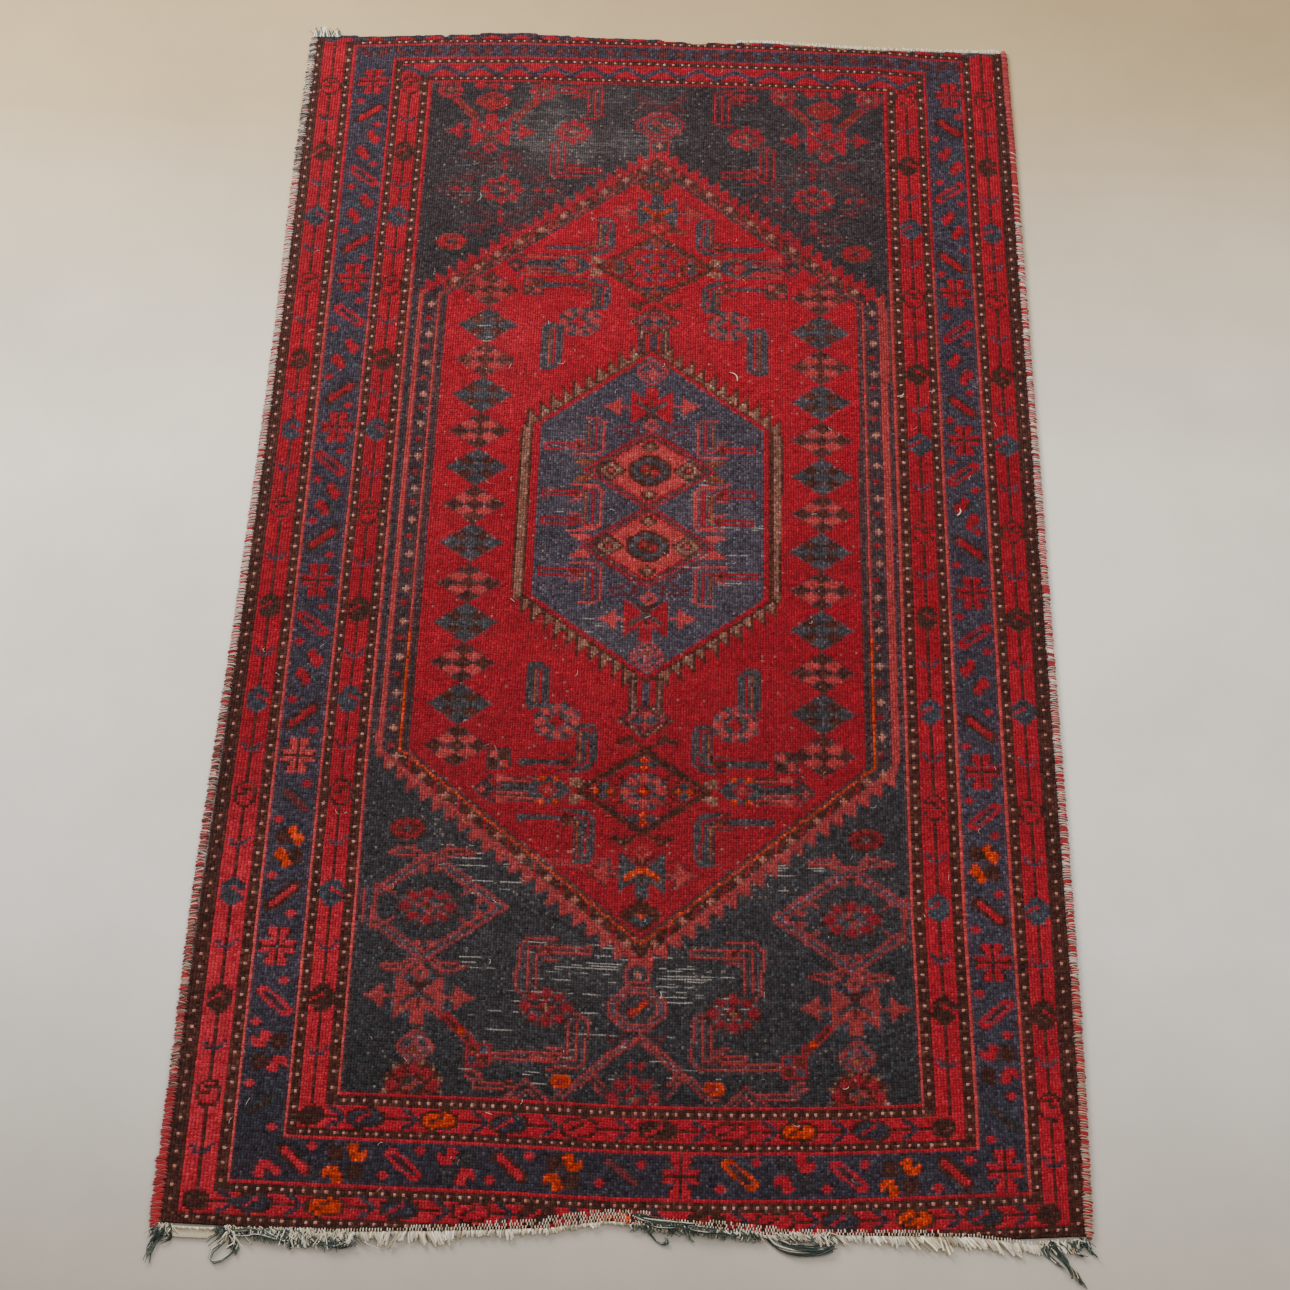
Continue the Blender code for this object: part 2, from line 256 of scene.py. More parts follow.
side_code = np.minimum(stripe_codes(SIDE_KNOTS, COLUMNS), stripe_codes(SIDE_KNOTS, COLUMNS)[::-1])
end_code = np.minimum(stripe_codes(FOOT_KNOTS, ROWS), stripe_codes(HEAD_KNOTS, ROWS)[::-1])
code = np.minimum(side_code[None, :], end_code[:, None])
STRIPE_DYES = "nrnpbpnrnpk"
for number, letter in enumerate(STRIPE_DYES):
    tie(code == number, letter)
# the thin lines are rose along the sides and red across the ends and high up
tie(dyed("p") & ((end_code[:, None] < side_code[None, :]) | (V < 560)), "r")

# Cream dots along the brown guards: one knot each, about every 22 mm up the sides and 15 mm across the ends.
SIDE_DOT_STEP, END_DOT_STEP = 5.6, 3.7
for number in (0, 2, 6, 8):
    middle = middle_of(SIDE_KNOTS, number)
    for column, start in ((middle, 2.0), (COLUMNS - 1 - middle, 3.5)):
        rows = np.round(start + number + SIDE_DOT_STEP * np.arange(int(ROWS / SIDE_DOT_STEP))).astype(int)
        rows = rows[rows < ROWS]
        tie((rows[(code[rows, column] == number) & (end_code[rows] > number)], column), "c")
    for row in (middle_of(FOOT_KNOTS, number), ROWS - 1 - middle_of(HEAD_KNOTS, number)):
        columns = np.round(np.arange(3 + number, COLUMNS - 3, END_DOT_STEP)).astype(int)
        tie((row, columns[(code[row, columns] == number) & (side_code[columns] > number)]), "c")

# Red stripes of the sides: a brown stem with discs in turn red, brown and blue, and small horned marks.
upwards = np.arange(ROWS)
for number in (1, 7):
    first, foot = middle_of(SIDE_KNOTS, number), middle_of(FOOT_KNOTS, number)
    rows = (upwards >= foot) & ((end_code > number) | ((end_code == number) & (upwards > ROWS // 2)))
    for column in (first, COLUMNS - 1 - first):
        tie((rows, column), "n")
    tie((foot, slice(first, COLUMNS - first)), "n")


def on_column(column, v, side=1):
    """Return a spot on one column of knots at a height."""
    return Spot(float(np.interp(v, V[::-1, column], U[::-1, column])), v, side)


def on_row(row, u, side=1):
    """Return a spot on one row of knots at a place across."""
    return Spot(u, float(np.interp(u, U[row], V[row])), side)


def horned_mark(spot):
    """A small blue mark with two horns, across a stem."""
    for side in (-1, 1):
        spot.path(((0, 5), (side * 7, 2), (side * 13, -6)), 6.0, "b")
    spot.box(0, 5, 3, 3, "b")


DISC_SIZE = 17.5, 21.0


def disc(spot, kind):
    """A round fruit on a stem: red with a brown ring and scroll, or solid brown or blue with a red slash."""
    wide, high = DISC_SIZE
    if kind == "red":
        spot.gem(0, 0, wide, high, "n")
        spot.gem(0, 0, wide - 4, high - 4.5, "r")
        spot.path(((-wide * 0.5, -high * 0.4), (wide * 0.2, -high * 0.45), (-wide * 0.1, 0),
                   (wide * 0.45, -high * 0.05)), 4.2, "n")
    else:
        letter, turn = {"brown": ("n", -1), "blue": ("u", 1)}[kind]
        spot.gem(0, 0, wide, high, letter)
        spot.path(((-turn * wide, high * 0.2), (0, -high * 0.3)), 4.8, "r")


# each stem: its column, its side, how low its marks go, and its discs' places from the upper end
STEMS = ((9, -1, 2150, (162, 317, 462, 610, 771, 913, 1066, 1250, 1418, 1580, 1739, 1904, 2045)),
         (42, -1, 2010, (158, 312, 461, 610, 767, 911, 1075, 1254, 1413, 1574, 1736, 1903)),
         (COLUMNS - 10, 1, 2150, (162, 324, 474, 621, 780, 922, 1091, 1254, 1420, 1590, 1751, 1913, 2051)),
         (COLUMNS - 43, 1, 2010, (159, 321, 468, 619, 778, 922, 1092, 1254, 1419, 1585, 1748, 1909)))
DISC_KINDS = ("red", "brown", "blue", "red", "brown", "blue", "red", "brown", "blue", "red", "blue", "brown", "red")
LAST_MARK_BELOW = 79
for column, side, lowest, places in STEMS:
    for v, kind in zip(places, DISC_KINDS):
        disc(on_column(column, v, side), kind)
    for v in [0.5 * (p + q) for p, q in zip(places, places[1:])] + [places[-1] + LAST_MARK_BELOW]:
        if v < lowest:
            horned_mark(on_column(column, v))

# Red stripes of the lower end: the same stem with ovals, and the marks lie on their sides.
END_OVALS = {1: ((("n", 84), ("u", 162), ("o", 255), ("u", 357), ("r", 453), ("n", 544), ("o", 647), ("n", 772),
                  ("r", 865), ("u", 953), ("o", 1052), ("u", 1148), ("n", 1237)),
                 (124, 216, 313, 413, 500, 596, 705, 815, 915, 1006, 1107, 1200)),
             7: ((("n", 226), ("u", 303), ("o", 403), ("u", 500), ("p", 596), ("n", 702), ("p", 805), ("o", 897),
                  ("u", 998), ("n", 1099)),
                 (262, 360, 459, 554, 654, 762, 858, 953, 1051))}
for number, (ovals, marks) in END_OVALS.items():
    row = middle_of(FOOT_KNOTS, number)
    for letter, u in ovals:
        spot = on_row(row, u)
        corner = letter == "n" and (u < 230 or u > 1090)
        spot.gem(0, 0, 17 if corner else 27, 15.5, "n", 1.45)
        if not corner:
            spot.gem(0, 0, 22.5, 11.5, {"u": "b", "p": "r"}.get(letter, letter), 1.45)
            spot.path(((-14, 6), (4, -6)), 4.8, "n" if letter in "orp" else "r")
    for u in marks:
        for flip in (-1, 1):
            on_row(row, u).path(((9, 0), (4, flip * 6), (-1, flip * 10), (-9, flip * 13)), 7.5, "b")

# Blue stripe, the main border: eight-petalled stars, slanting bars, hooked leaves in pairs, and dots between.
STAR = ("...rrr.rrr...", "..nrrrnrrrn..", "..nrrrnrrrn..", "...nrrnrrn...", "....rrnrr....", "rrrr.rnr.rrrr",
        "nrrrrrnrrrrrn", "nnnnnnbnnnnnn", "nrrrrrnrrrrrn", "rrrr.rnr.rrrr", "....rrnrr....", "...nrrnrrn...",
        "..nrrrnrrrn..", "..nrrrnrrrn..", "...rrr.rrr...")
LEAF = (".rrr...", "rrrrn..", "nrrrn.r", ".rrrrrr", "nnrrrrr", "..rrrr.")
TALL_LEAF = (".rr...", "rrrn..", "rrrn..", "nrrrrn", "nrrrrr", "nnrrrr", "..rrr.", "...rr.")
DOT = (".rr.", "rrrr", ".rr.")


# each kind of slanting bar: the layers it is drawn in, as share of its length, half its thickness and dye
BAR_LAYERS = {"solid": ((1.0, 9.5, "n"), (0.86, 5.0, "r")), "thin": ((1.0, 9.0, "s"), (1.0, 4.0, "v")),
              "open": ((1.0, 8.8, "r"), (0.80, 4.0, "b"), (0.62, 1.8, "n")),
              "orange": ((1.0, 8.8, "o"), (0.80, 4.0, "b"), (0.62, 1.8, "n")),
              "dark": ((1.0, 10.5, "u"), (0.86, 6.0, "s"), (0.7, 2.0, "n"))}


def border_bar(u, v, side, kind):
    """A slanting bar that rises to its own side."""
    spot = Spot(u, v, side)
    for share, half, letter in BAR_LAYERS[kind]:
        spot.bar(-17 * share, 15 * share, 17 * share, -15 * share, half, letter)


def leaf_pair(first, second, side, letter="r", block="s", leaf=LEAF):
    """Two hooked leaves, back to back across their middle, with a block beside each."""
    (u1, v1), (u2, v2) = first, second
    if block:
        Spot(u2, v1).gem(0, 0, 11, 12, block, 1.5)
        Spot(u1, v2).gem(0, 0, 11, 12, block, 1.5)
    Spot(u1, v1, side, 1).knots(leaf, {"r": letter})
    Spot(u2, v2, -side, -1).knots(leaf, {"r": letter})


BORDER_STARS = ((150, 149, "r"), (155, 598, "r"), (155, 908, "r"), (152, 1203, "r"), (153, 1514, "p"), (155, 1822, "r"),
                (1174, 153, "r"), (1170, 607, "r"), (1170, 913, "r"), (1172, 1205, "r"), (1175, 1522, "r"),
                (1177, 1833, "r"), (1179, 2141, "r"), (737, 2155, "r"))
BORDER_BARS = ((152, 224, 1, "solid"), (153, 372, -1, "open"), (155, 523, 1, "solid"), (153, 676, -1, "open"),
               (154, 835, 1, "solid"), (153, 978, -1, "open"), (153, 1123, 1, "solid"), (153, 1283, -1, "open"),
               (153, 1446, 1, "solid"), (156, 1589, -1, "thin"), (155, 1744, 1, "solid"),
               (157, 1906, -1, "open"), (156, 2062, 1, "dark"), (212, 2138, -1, "solid"),
               (1170, 233, -1, "solid"), (1170, 384, 1, "open"), (1167, 539, -1, "solid"), (1171, 687, 1, "open"),
               (1170, 844, -1, "solid"), (1170, 978, 1, "open"), (1172, 1123, -1, "solid"), (1172, 1283, 1, "open"),
               (1173, 1446, -1, "solid"), (1175, 1598, 1, "open"), (1176, 1753, -1, "solid"),
               (1177, 1913, 1, "open"), (1180, 2065, -1, "dark"), (357, 2146, -1, "open"), (503, 2146, -1, "solid"),
               (655, 2152, -1, "thin"), (816, 2154, -1, "orange"), (964, 2151, -1, "open"), (1112, 2146, -1, "solid"))
BORDER_DOTS = ((135, 197), (170, 252), (170, 345), (135, 398), (135, 495), (171, 552), (170, 647), (136, 706),
               (135, 805), (170, 863), (170, 955), (136, 1010), (136, 1092), (170, 1155), (170, 1250), (137, 1314),
               (136, 1416), (171, 1471), (173, 1560), (136, 1619), (136, 1710), (172, 1773), (172, 1874), (138, 1936),
               (138, 2031), (176, 2092), (1193, 204), (1150, 260), (1151, 357), (1190, 409), (1188, 512), (1151, 565),
               (1153, 657), (1188, 714), (1189, 816), (1151, 870), (1152, 955), (1190, 1010), (1190, 1092),
               (1153, 1155), (1153, 1250), (1192, 1314), (1192, 1418), (1155, 1480), (1156, 1570), (1193, 1628),
               (1194, 1724), (1157, 1782), (1158, 1883), (1196, 1941), (1195, 2035), (1163, 2097), (234, 2121),
               (188, 2156), (383, 2126), (332, 2161), (529, 2131), (480, 2165), (684, 2138), (627, 2169), (842, 2136),
               (791, 2172), (988, 2135), (939, 2169), (1136, 2128), (1091, 2166))
LEFT_LEAVES = ((285, "r", "u"), (430, "r", "u"), (745, "r", "u"), (1034, "r", "u"), (1344, "r", "u"), (1649, "o", "n"))
RIGHT_LEAVES = ((294, "r", "u"), (441, "r", "u"), (751, "r", None), (1043, "r", "u"), (1345, "r", "u"))
for u, v, letter in BORDER_STARS:
    Spot(u, v).knots(STAR, {"r": letter})
for u, v, side, kind in BORDER_BARS:
    border_bar(u, v, side, kind)
for u, v in BORDER_DOTS:
    Spot(u, v).knots(DOT)
for v, letter, block in LEFT_LEAVES:
    leaf_pair((166, v), (143, v + 30), 1, letter, block, TALL_LEAF)
for v, letter, block in RIGHT_LEAVES:
    leaf_pair((1159, v), (1182, v + 29), -1, letter, block, TALL_LEAF)
leaf_pair((1183, 1660), (1158, 1689), 1, "o", "n", TALL_LEAF)
leaf_pair((147, 1967), (171, 1997), -1, "r", "n")
Spot(168, 2148, 1, -1).knots(LEAF)
leaf_pair((1165, 1972), (1190, 2002), -1, "r", "n")
for (u, v), side, letter in (((292, 2131), 1, "o"), ((418, 2135), -1, "r"), ((587, 2141), 1, "o"),
                             ((903, 2140), 1, "r"), ((1049, 2140), 1, "o")):
    leaf_pair((u, v), (u + (26 if side < 0 else -26), v + 25), side, letter, "n" if letter == "o" else "s")

# Upper end: short slanting bars in the narrow blue stripe, and a running vine in each red one.
VINE_THICKNESS = 12.8
head_row = {number: ROWS - 1 - middle_of(HEAD_KNOTS, number) for number in (1, 4, 7)}
for index, u in enumerate(np.arange(133.0, 1200.0, 31.2)):
    spot = on_row(head_row[4], u, 1 if index % 2 else -1)
    spot.bar(-6, 5, 6, -5, 6.0, "n")
    spot.bar(-5, 4, 5, -4, 2.8, "v")
for number, period, swing in ((7, 65.0, 8.0), (1, 52.0, 5.0)):
    row = head_row[number]
    wave = V - np.interp(U, U[row], V[row])
    phase = np.sin(2.0 * math.pi * (U - 160.0) / period)
    inside = (code == number) & (V < 200) & (end_code[:, None] == number)
    tie(inside & (np.abs(wave - swing * phase) < 0.5 * VINE_THICKNESS), "b")


# Field, drawn over the ground: a long hexagon of red with a stepped outer edge, on blue-black corners.
# Every outline is a pair of straight runs from a point in the middle to a corner at the side.
in_field = code == 10
border = chart.copy()
HEXAGON = {"top": (660.0, 322.0), "bottom": (672.0, 1826.0), "left": 289.0, "right": 1027.5,
           "upper": (626.0, 631.0), "lower": (1500.0, 1521.0)}


def hexagon_depth(shape, side_scale):
    """Return how far inside a hexagon each knot lies: straight down from its slopes and across from its sides."""
    depth = np.full(U.shape, 1e6)
    for (apex_u, apex_v), shoulders, down in ((shape["top"], shape["upper"], 1), (shape["bottom"], shape["lower"], -1)):
        left_slope = (shoulders[0] - apex_v) / (apex_u - shape["left"])
        right_slope = (shoulders[1] - apex_v) / (shape["right"] - apex_u)
        edge = apex_v + np.where(U < apex_u, left_slope * (apex_u - U), right_slope * (U - apex_u))
        depth = np.minimum(depth, down * (V - edge))
    sides = np.minimum(U - shape["left"], shape["right"] - U) * side_scale
    return np.minimum(depth, sides), sides


depth, side_depth = hexagon_depth(HEXAGON, 0.9)


def slopes_only(shape, falls):
    """Return how far inside a hexagon's slopes each knot lies, where they run on past its sides and fall as given."""
    far = 1e4
    (top_u, top_v), (bottom_u, bottom_v) = shape["top"], shape["bottom"]
    upper = top_v + falls[0] * (top_u + far), top_v + falls[1] * (far - top_u)
    lower = bottom_v - falls[2] * (bottom_u + far), bottom_v - falls[3] * (far - bottom_u)
    return hexagon_depth({**shape, "left": -far, "right": far, "upper": upper, "lower": lower}, 1.0)[0]


def teeth(shape, depth_at, pitches, base, height, notch, letter, outline=None):
    """Saw teeth outside a hexagon's slopes: each stands upright on its outer side and slopes down inwards."""
    out, gap = -depth_at, 4.0 if outline else 0.0
    upper_half = V < 0.5 * (shape["top"][1] + shape["bottom"][1])
    for quarter, pitch in enumerate(pitches):
        left, upper = quarter % 2 == 0, quarter < 2
        apex_u, _ = shape["top"] if upper else shape["bottom"]
        along = (apex_u - U) if left else (U - apex_u)
        share = (along / pitch) % 1.0
        reach = notch + np.maximum(share * pitch - gap, 0.0) * (height - notch) / (pitch - gap)
        here = (along > 0) & (upper_half == upper) & (out > base)
        here &= (U > shape["left"] - 22) if left else (U < shape["right"] + 22)
        if outline:
            tie(here & (out < reach + 4.4), outline)
            here &= share < 1.0 - 4.0 / pitch
        tie(here & (out < reach), letter)


# how steeply the four slopes of the hexagon fall
FALLS = (0.82, 0.841, 0.852, 0.858)
slope_depth = slopes_only(HEXAGON, FALLS)
near = in_field & (U > HEXAGON["left"] - 22.5) & (U < HEXAGON["right"] + 26) & (slope_depth > -10)
tie(near & (depth > -22.5), "p")
tie(near & (side_depth > -11), "g")
teeth(HEXAGON, slope_depth, (17.5, 17.8, 19.6, 19.5), 7.0, 43.0, 17.0, "p")
tie(in_field & dyed("p") & (depth < -8) & (V < 620), "r")
ring = in_field & (depth > -9.5)
tie(ring, "g")
tie(ring & (depth > -6.5) & (depth < 8.0) & (side_depth > 16.0), "n")
line_in = np.where(side_depth > 20.0, 1.5, 0.0)
tie(ring & (depth > 11.0 + line_in), "p")
tie(ring & (depth > 15.0 + line_in), "g")
tie(ring & (depth > 24.0), "r")
# the thin line: dotted rose above and orange below
thin = ring & (depth > 11.0 + line_in) & (depth <= 15.0 + line_in)
every_other = (KNOT_COLUMN.astype(int) + KNOT_ROW.astype(int)) % 2 == 0
tie(thin & (side_depth > 20.0) & (V < 1000) & every_other, "n")
tie(thin & (V > 1290), "o")

CROSS = (".c.", "ccc", ".c.")
for quarter, (pitch, fall) in enumerate(zip((34.9, 35.6, 39.2, 39.0), FALLS)):
    side, flip = (-1, 1)[quarter % 2], (1, -1)[quarter // 2]
    apex_u, apex_v = HEXAGON["top" if flip > 0 else "bottom"]
    limit = abs(HEXAGON["left" if side < 0 else "right"] - apex_u) - 4
    for index in range(12):
        along = 20.0 + index * pitch
        if along < limit:
            Spot(apex_u + side * along, apex_v + flip * along * fall, reach=20).knots(CROSS)
        along += 0.5 * pitch
        if along < limit:
            spot = Spot(apex_u + side * along, apex_v + flip * along * fall, side, flip, reach=20)
            spot.path(((-2, -7), (2, 7)), 4.2, "r")
for u, v in ((289.5, 617), (1027.5, 621)):
    for index in range(15):
        Spot(u, v + index * 62.6, reach=20).knots(("rr", "rr"))
        Spot(u, v + index * 62.6 + 32, reach=20).knots(CROSS)

# Two columns of lozenges down the sides of the red: chequered ones and blue ones in turn.
QUARTERS = ((-1, -1), (1, -1), (-1, 1), (1, 1))
for u, first, last in ((387, 617, 1492), (939, 622, 1500)):
    for index in range(13):
        spot = Spot(u, first + (last - first) * index / 12.0, reach=60)
        ground, size, letter = (("g", 14, "p"), ("u", 13, "n"))[index % 2]
        spot.lozenge(0, 0, 50, 37.5, ground)
        spot.lozenges(size, 10.5, letter, *((a * 16.5, b * 12) for a, b in QUARTERS))
        if letter == "p":
            spot.lozenges(11, 9, "n", (0, 0), (-32, 0), (32, 0), (0, -24), (0, 24))

ANIMAL = ("......rrrrr......", "......rrrrr......", "r.....rrrrr.....r", "rr....rrrrr....rr", "rrr...rrrrr...rrr",
          "rrrrr.rrrrr.rrrrr", "rrrrrrrrnrrrrrrrr", "rrssrrrrnrrrrssrr", "rrsssrrrnrrrsssrr", "rrrssssrnrssssrrr",
          "rrrrsssssssssrrrr", "rrrrrrsssssrrrrrr", "rrrrrrr.n.rrrrrrr", "rrrrrr.nnn.rrrrrr", "rrrrr.nnnnn.rrrrr",
          "rrrr.nnnnnnn.rrrr", "rrr.nn.....nn.rrr", "rr.............rr")
DIAMOND = ("...r...", "..rrr..", ".rr.rr.", "rr...rr", ".rr.rr.", "..rrr..", "...r...")
ARROW = ("......r.", ".....rr.", "....rrr.", "..rrrrr.", "rrrrrrrr", "..rrrrr.", "....rrr.", ".....rr.", "......r.")


def star_animal(u, v, flip, body, slots, gap=None, arrows="r", ring="r", outline=None):
    """A square figure with ears and a head, a chevron of another dye, a small diamond and an arrow each side."""
    spot = Spot(u, v, 1, flip)
    if outline:
        spot.box(0, 2, 38, 33, outline)
    spot.knots(ANIMAL, {"r": body, "s": slots, "n": "n"})
    Spot(u, v + flip * 40, 1, flip).knots(DIAMOND, {"r": ring})
    for side in (-1, 1):
        arrow = Spot(u + side * 60, v + flip * 2, -side, flip)
        if gap:
            arrow.path(((-18, 0), (10, -22), (10, 22), (-18, 0)), 4.6, gap)
            arrow.paths(4.2, gap, ((10, -3), (24, -3)), ((10, 5), (24, 5)))
        arrow.knots(ARROW, {"r": arrows})
        arrow.path(((16, 1), (24, 1)), 4.2, arrows)


def rosette(u, v, half_u, half_v, ground, petals="p", hearts=("r", "n"), eye="c", tips=None):
    """A round flower: eight petals on a dark ring, and a heart in four quarters."""
    spot = Spot(u, v, reach=max(half_u, half_v) + 8)
    spot.gem(0, 0, half_u, half_v, ground, 1.40)
    for a, b, w, h in ((0, -0.68, 0.20, 0.24), (0, 0.68, 0.20, 0.24), (-0.72, 0, 0.22, 0.26), (0.72, 0, 0.22, 0.26),
                       (-0.48, -0.50, 0.20, 0.20), (0.48, -0.50, 0.20, 0.20), (-0.48, 0.50, 0.20, 0.20),
                       (0.48, 0.50, 0.20, 0.20)):
        spot.lozenge(a * half_u, b * half_v, w * half_u + 2, h * half_v + 2, petals)
    if tips:
        for a, b in ((0.25, 0.92), (0.95, 0.25), (0.68, 0.72)):
            spot.lozenges(4.5, 4.5, tips, *((s * a * half_u, t * b * half_v) for s, t in QUARTERS))
    spot.lozenge(0, 0, 0.40 * half_u, 0.42 * half_v, hearts[1])
    quarter = (spot.a * spot.b > 0) & (np.abs(spot.a) / (0.40 * half_u) + np.abs(spot.b) / (0.42 * half_v) <= 1.0)
    spot.dye(quarter, hearts[0])
    spot.lozenge(0, 0, 5.5, 5.5, eye)


def quarter_square(u, v, side=1, light="p", edge="g"):
    """A small square in four quarters."""
    spot = Spot(u, v, side)
    spot.box(0, 0, 17, 16.5, edge)
    for a, b in QUARTERS:
        spot.box(a * 8, b * 8, 6.3, 6.3, light if a == b else "n")
    spot.box(0, 0, 2.5, 2.5, "t")


def solid_hook(u, v, side, flip, high, foot):
    """A thick blue hook with red and orange lines in it, a knob at its heel and a long foot."""
    spot = Spot(u, v, side, flip, reach=140)
    top, heel = -high / 2, high / 2
    spot.box(0, 3, 13, heel - 7, "u")
    spot.path(((-13, top + 4), (8, top + 4), (13, top + 14), (13, heel - 12), (4, heel), (-18, heel + 3)), 9.5, "u")
    spot.path(((-13, top + 2), (-13, heel - 14)), 4.2, "g")
    spot.path(((6, top + 12), (6, heel - 10), (-14, heel - 5)), 4.2, "r")
    spot.path(((0, top + 12), (0, heel - 14)), 6.0, "u")
    spot.path(((-8, top + 12), (-8, heel - 16), (-20, heel - 15)), 4.0, "d")
    spot.path(((-28, heel - 9), (-foot, heel - 9)), 9.5, "u")
    spot.lozenge(-26, heel - 9, 11, 9, "n")
    spot.paths(3.6, "g", ((-18, heel - 20), (-40, heel - 23)), ((-14, heel + 3), (-38, heel + 5)))


def outlined_hook(u, v, side, flip, high, foot, outer="p", inner="r", second="d"):
    """The same hook drawn in single lines."""
    spot = Spot(u, v, side, flip, reach=140)
    top, heel = -high / 2, high / 2
    spot.path(((-18, top), (4, top), (14, top + 10), (14, heel - 12), (4, heel), (-38, heel)), 4.2, outer)
    spot.path(((0, top + 10), (0, heel - 12), (-16, heel - 11)), 4.2, inner)
    spot.path(((-11, top + 12), (-11, heel - 22), (-24, heel - 22)), 4.6, second)
    spot.path(((-30, heel - 22), (-foot, heel - 22), (-foot, heel - 12), (-30, heel - 12)), 4.0, inner)
    spot.rings(-28, heel - 17, (12, 9, inner), (7, 5, "n"))
    spot.path(((-22, heel - 30), (-38, heel - 32)), 3.6, outer)


def bird_heads(u, v, flip, letter, spread=50, double=None):
    """Two bird heads that look outwards from a lozenge's point."""
    for side in (-1, 1):
        spot = Spot(u, v, side, flip)
        width = 4.0 if double else 8.0
        spot.path(((6, 8), (18, -3), (30, -8), (spread, -7), (spread + 12, -1)), width, letter)
        spot.path(((24, 2), (26, -14)), width * 0.7, letter)
        if double:
            spot.path(((12, 12), (26, 3), (46, 2), (spread + 12, -1)), 4.0, double)
        else:
            spot.path(((spread - 4, -4), (spread + 10, 2)), 6.0, letter)


def side_flower(u, v, side, foot):
    """A blue flower with a bundle of lines that runs out to the side and ends in a cross and two leaves."""
    spot = Spot(u, v, side, reach=150)
    for b, letter, width in ((-15, "p", 4.2), (15, "p", 4.2), (-19.5, "g", 4.0), (19.5, "g", 4.0), (-10.5, "g", 4.0),
                             (10.5, "g", 4.0), (-4, "u", 5.0), (4, "u", 5.0), (0, "g", 3.0), (7.0, "p", 3.0)):
        spot.path(((20, b), (foot - 14, b)), width, letter)
    for flip in (-1, 1):
        spot.path(((foot - 14, flip * 17), (foot - 4, flip * 20), (foot, flip * 27)), 5.0, "g")
        spot.gem(foot - 22, flip * 19, 10, 6, "p")
    spot.lozenge(foot + 2, 0, 19, 19, "g")
    Spot(u + side * (foot + 6), v, reach=20).knots((".p.", "ppp", ".p."))
    spot.gem(2, 0, 29, 24, "u", 1.35)
    spot.lozenge(-18, 0, 16, 16, "u")
    spot.lozenges(7, 5.5, "o" if v > 1000 else "d", (-10, -18), (12, -18), (-10, 19), (12, 19))
    spot.rings(2, 0, (16, 14, "r"), (11, 9.5, "g"), (7, 6, "p"))


def cluster(u, v, flip=1):
    """The brown-outlined lozenge with a rosette, four small lozenges in it and bird heads at its points."""
    spot = Spot(u, v, 1, flip)
    spark = "o" if flip < 0 else "d"
    for side in (-1, 1):
        tip = Spot(u, v, side, flip)
        out = np.abs(tip.b)
        tip.dye((tip.a > 78) & (tip.a < 112) & (out > 6) & (out - 8 < (tip.a - 76) * 0.55) & (out < 22), "t")
    spot.rings(0, 0, (104, 76, "n"), (88, 63, "g"), (84, 60, "r"))
    for a in (-1, 1):
        spot.paths(5.0, "n", *(((a * 47, b * 30), (a * 26, b * 14)) for b in (-1, 1)))
        spot.rings(a * 60, 0, (31, 26, "n"), (27, 22, "r"), (22, 18, "n"))
        spot.lozenges(9, 9, "u", (a * 60, -9), (a * 60, 9))
        spot.lozenges(6, 6, spark, (a * 60 - 9, 0), (a * 60 + 9, 0))
    for b in (-1, 1):
        spot.lozenges(11, 9, "u", (-12, b * 46), (12, b * 46))
        spot.lozenges(6, 5.5, spark, (0, b * 52), (0, b * 39))
    rosette(u, v, 36, 31, "u", "p" if flip < 0 else "r", ("r", "n"), "o")
    bird_heads(u, v - 78, 1, "n", 34)
    bird_heads(u, v + 78, -1, "n", 34)


def pendant(u, v, flip, stem_to):
    """A tan-dotted lozenge on a stem of two tan lines and a blue one."""
    spot = Spot(u, v, 1, flip, reach=150)
    length = abs(stem_to - v)
    for side in (-1, 1):
        for place, width, letter in ((19, 12.0, "g"), (19, 5.0, "t"), (10, 4.2, "r")):
            spot.path(((side * place, 12), (side * place, length)), width, letter)
    spot.path(((0, 8), (0, length + 4)), 11.0, "m")
    spot.lozenge(0, 0, 45, 33, "g")
    edge = np.abs(spot.a) / 41 + np.abs(spot.b) / 29.5 <= 1.0
    spot.dye(edge, "n")
    spot.dye(edge & every_other[:spot.view.shape[0], :spot.view.shape[1]], "t")
    spot.rings(0, 0, (35, 24.5, "g"), (31, 21.5, "r"), (26, 17, "u"))
    spot.lozenges(6.5, 6, "p", (0, -7), (0, 7))


def chequer_lozenge(u, v, half_u, half_v, flip, edge, light, dark, eye):
    """A lozenge outlined in one dye and chequered knot by knot inside."""
    spot = Spot(u, v, 1, flip)
    spot.gem(0, 0, half_u, half_v, edge, 1.12)
    spot.gem(0, 0, half_u - 5, half_v - 5, dark, 1.12)
    inner = (np.abs(spot.a) / (half_u - 5) + np.abs(spot.b) / (half_v - 5) <= 1.06)
    square = np.round(spot.a / 4.02).astype(int) + np.round(spot.b / 4.0).astype(int)
    spot.dye(inner & (square % 2 == 0), light)
    spot.lozenges(5.5, 5.0, dark, (-9, -5), (9, -5))
    spot.lozenge(0, 6, 6.5, 6.0, eye)


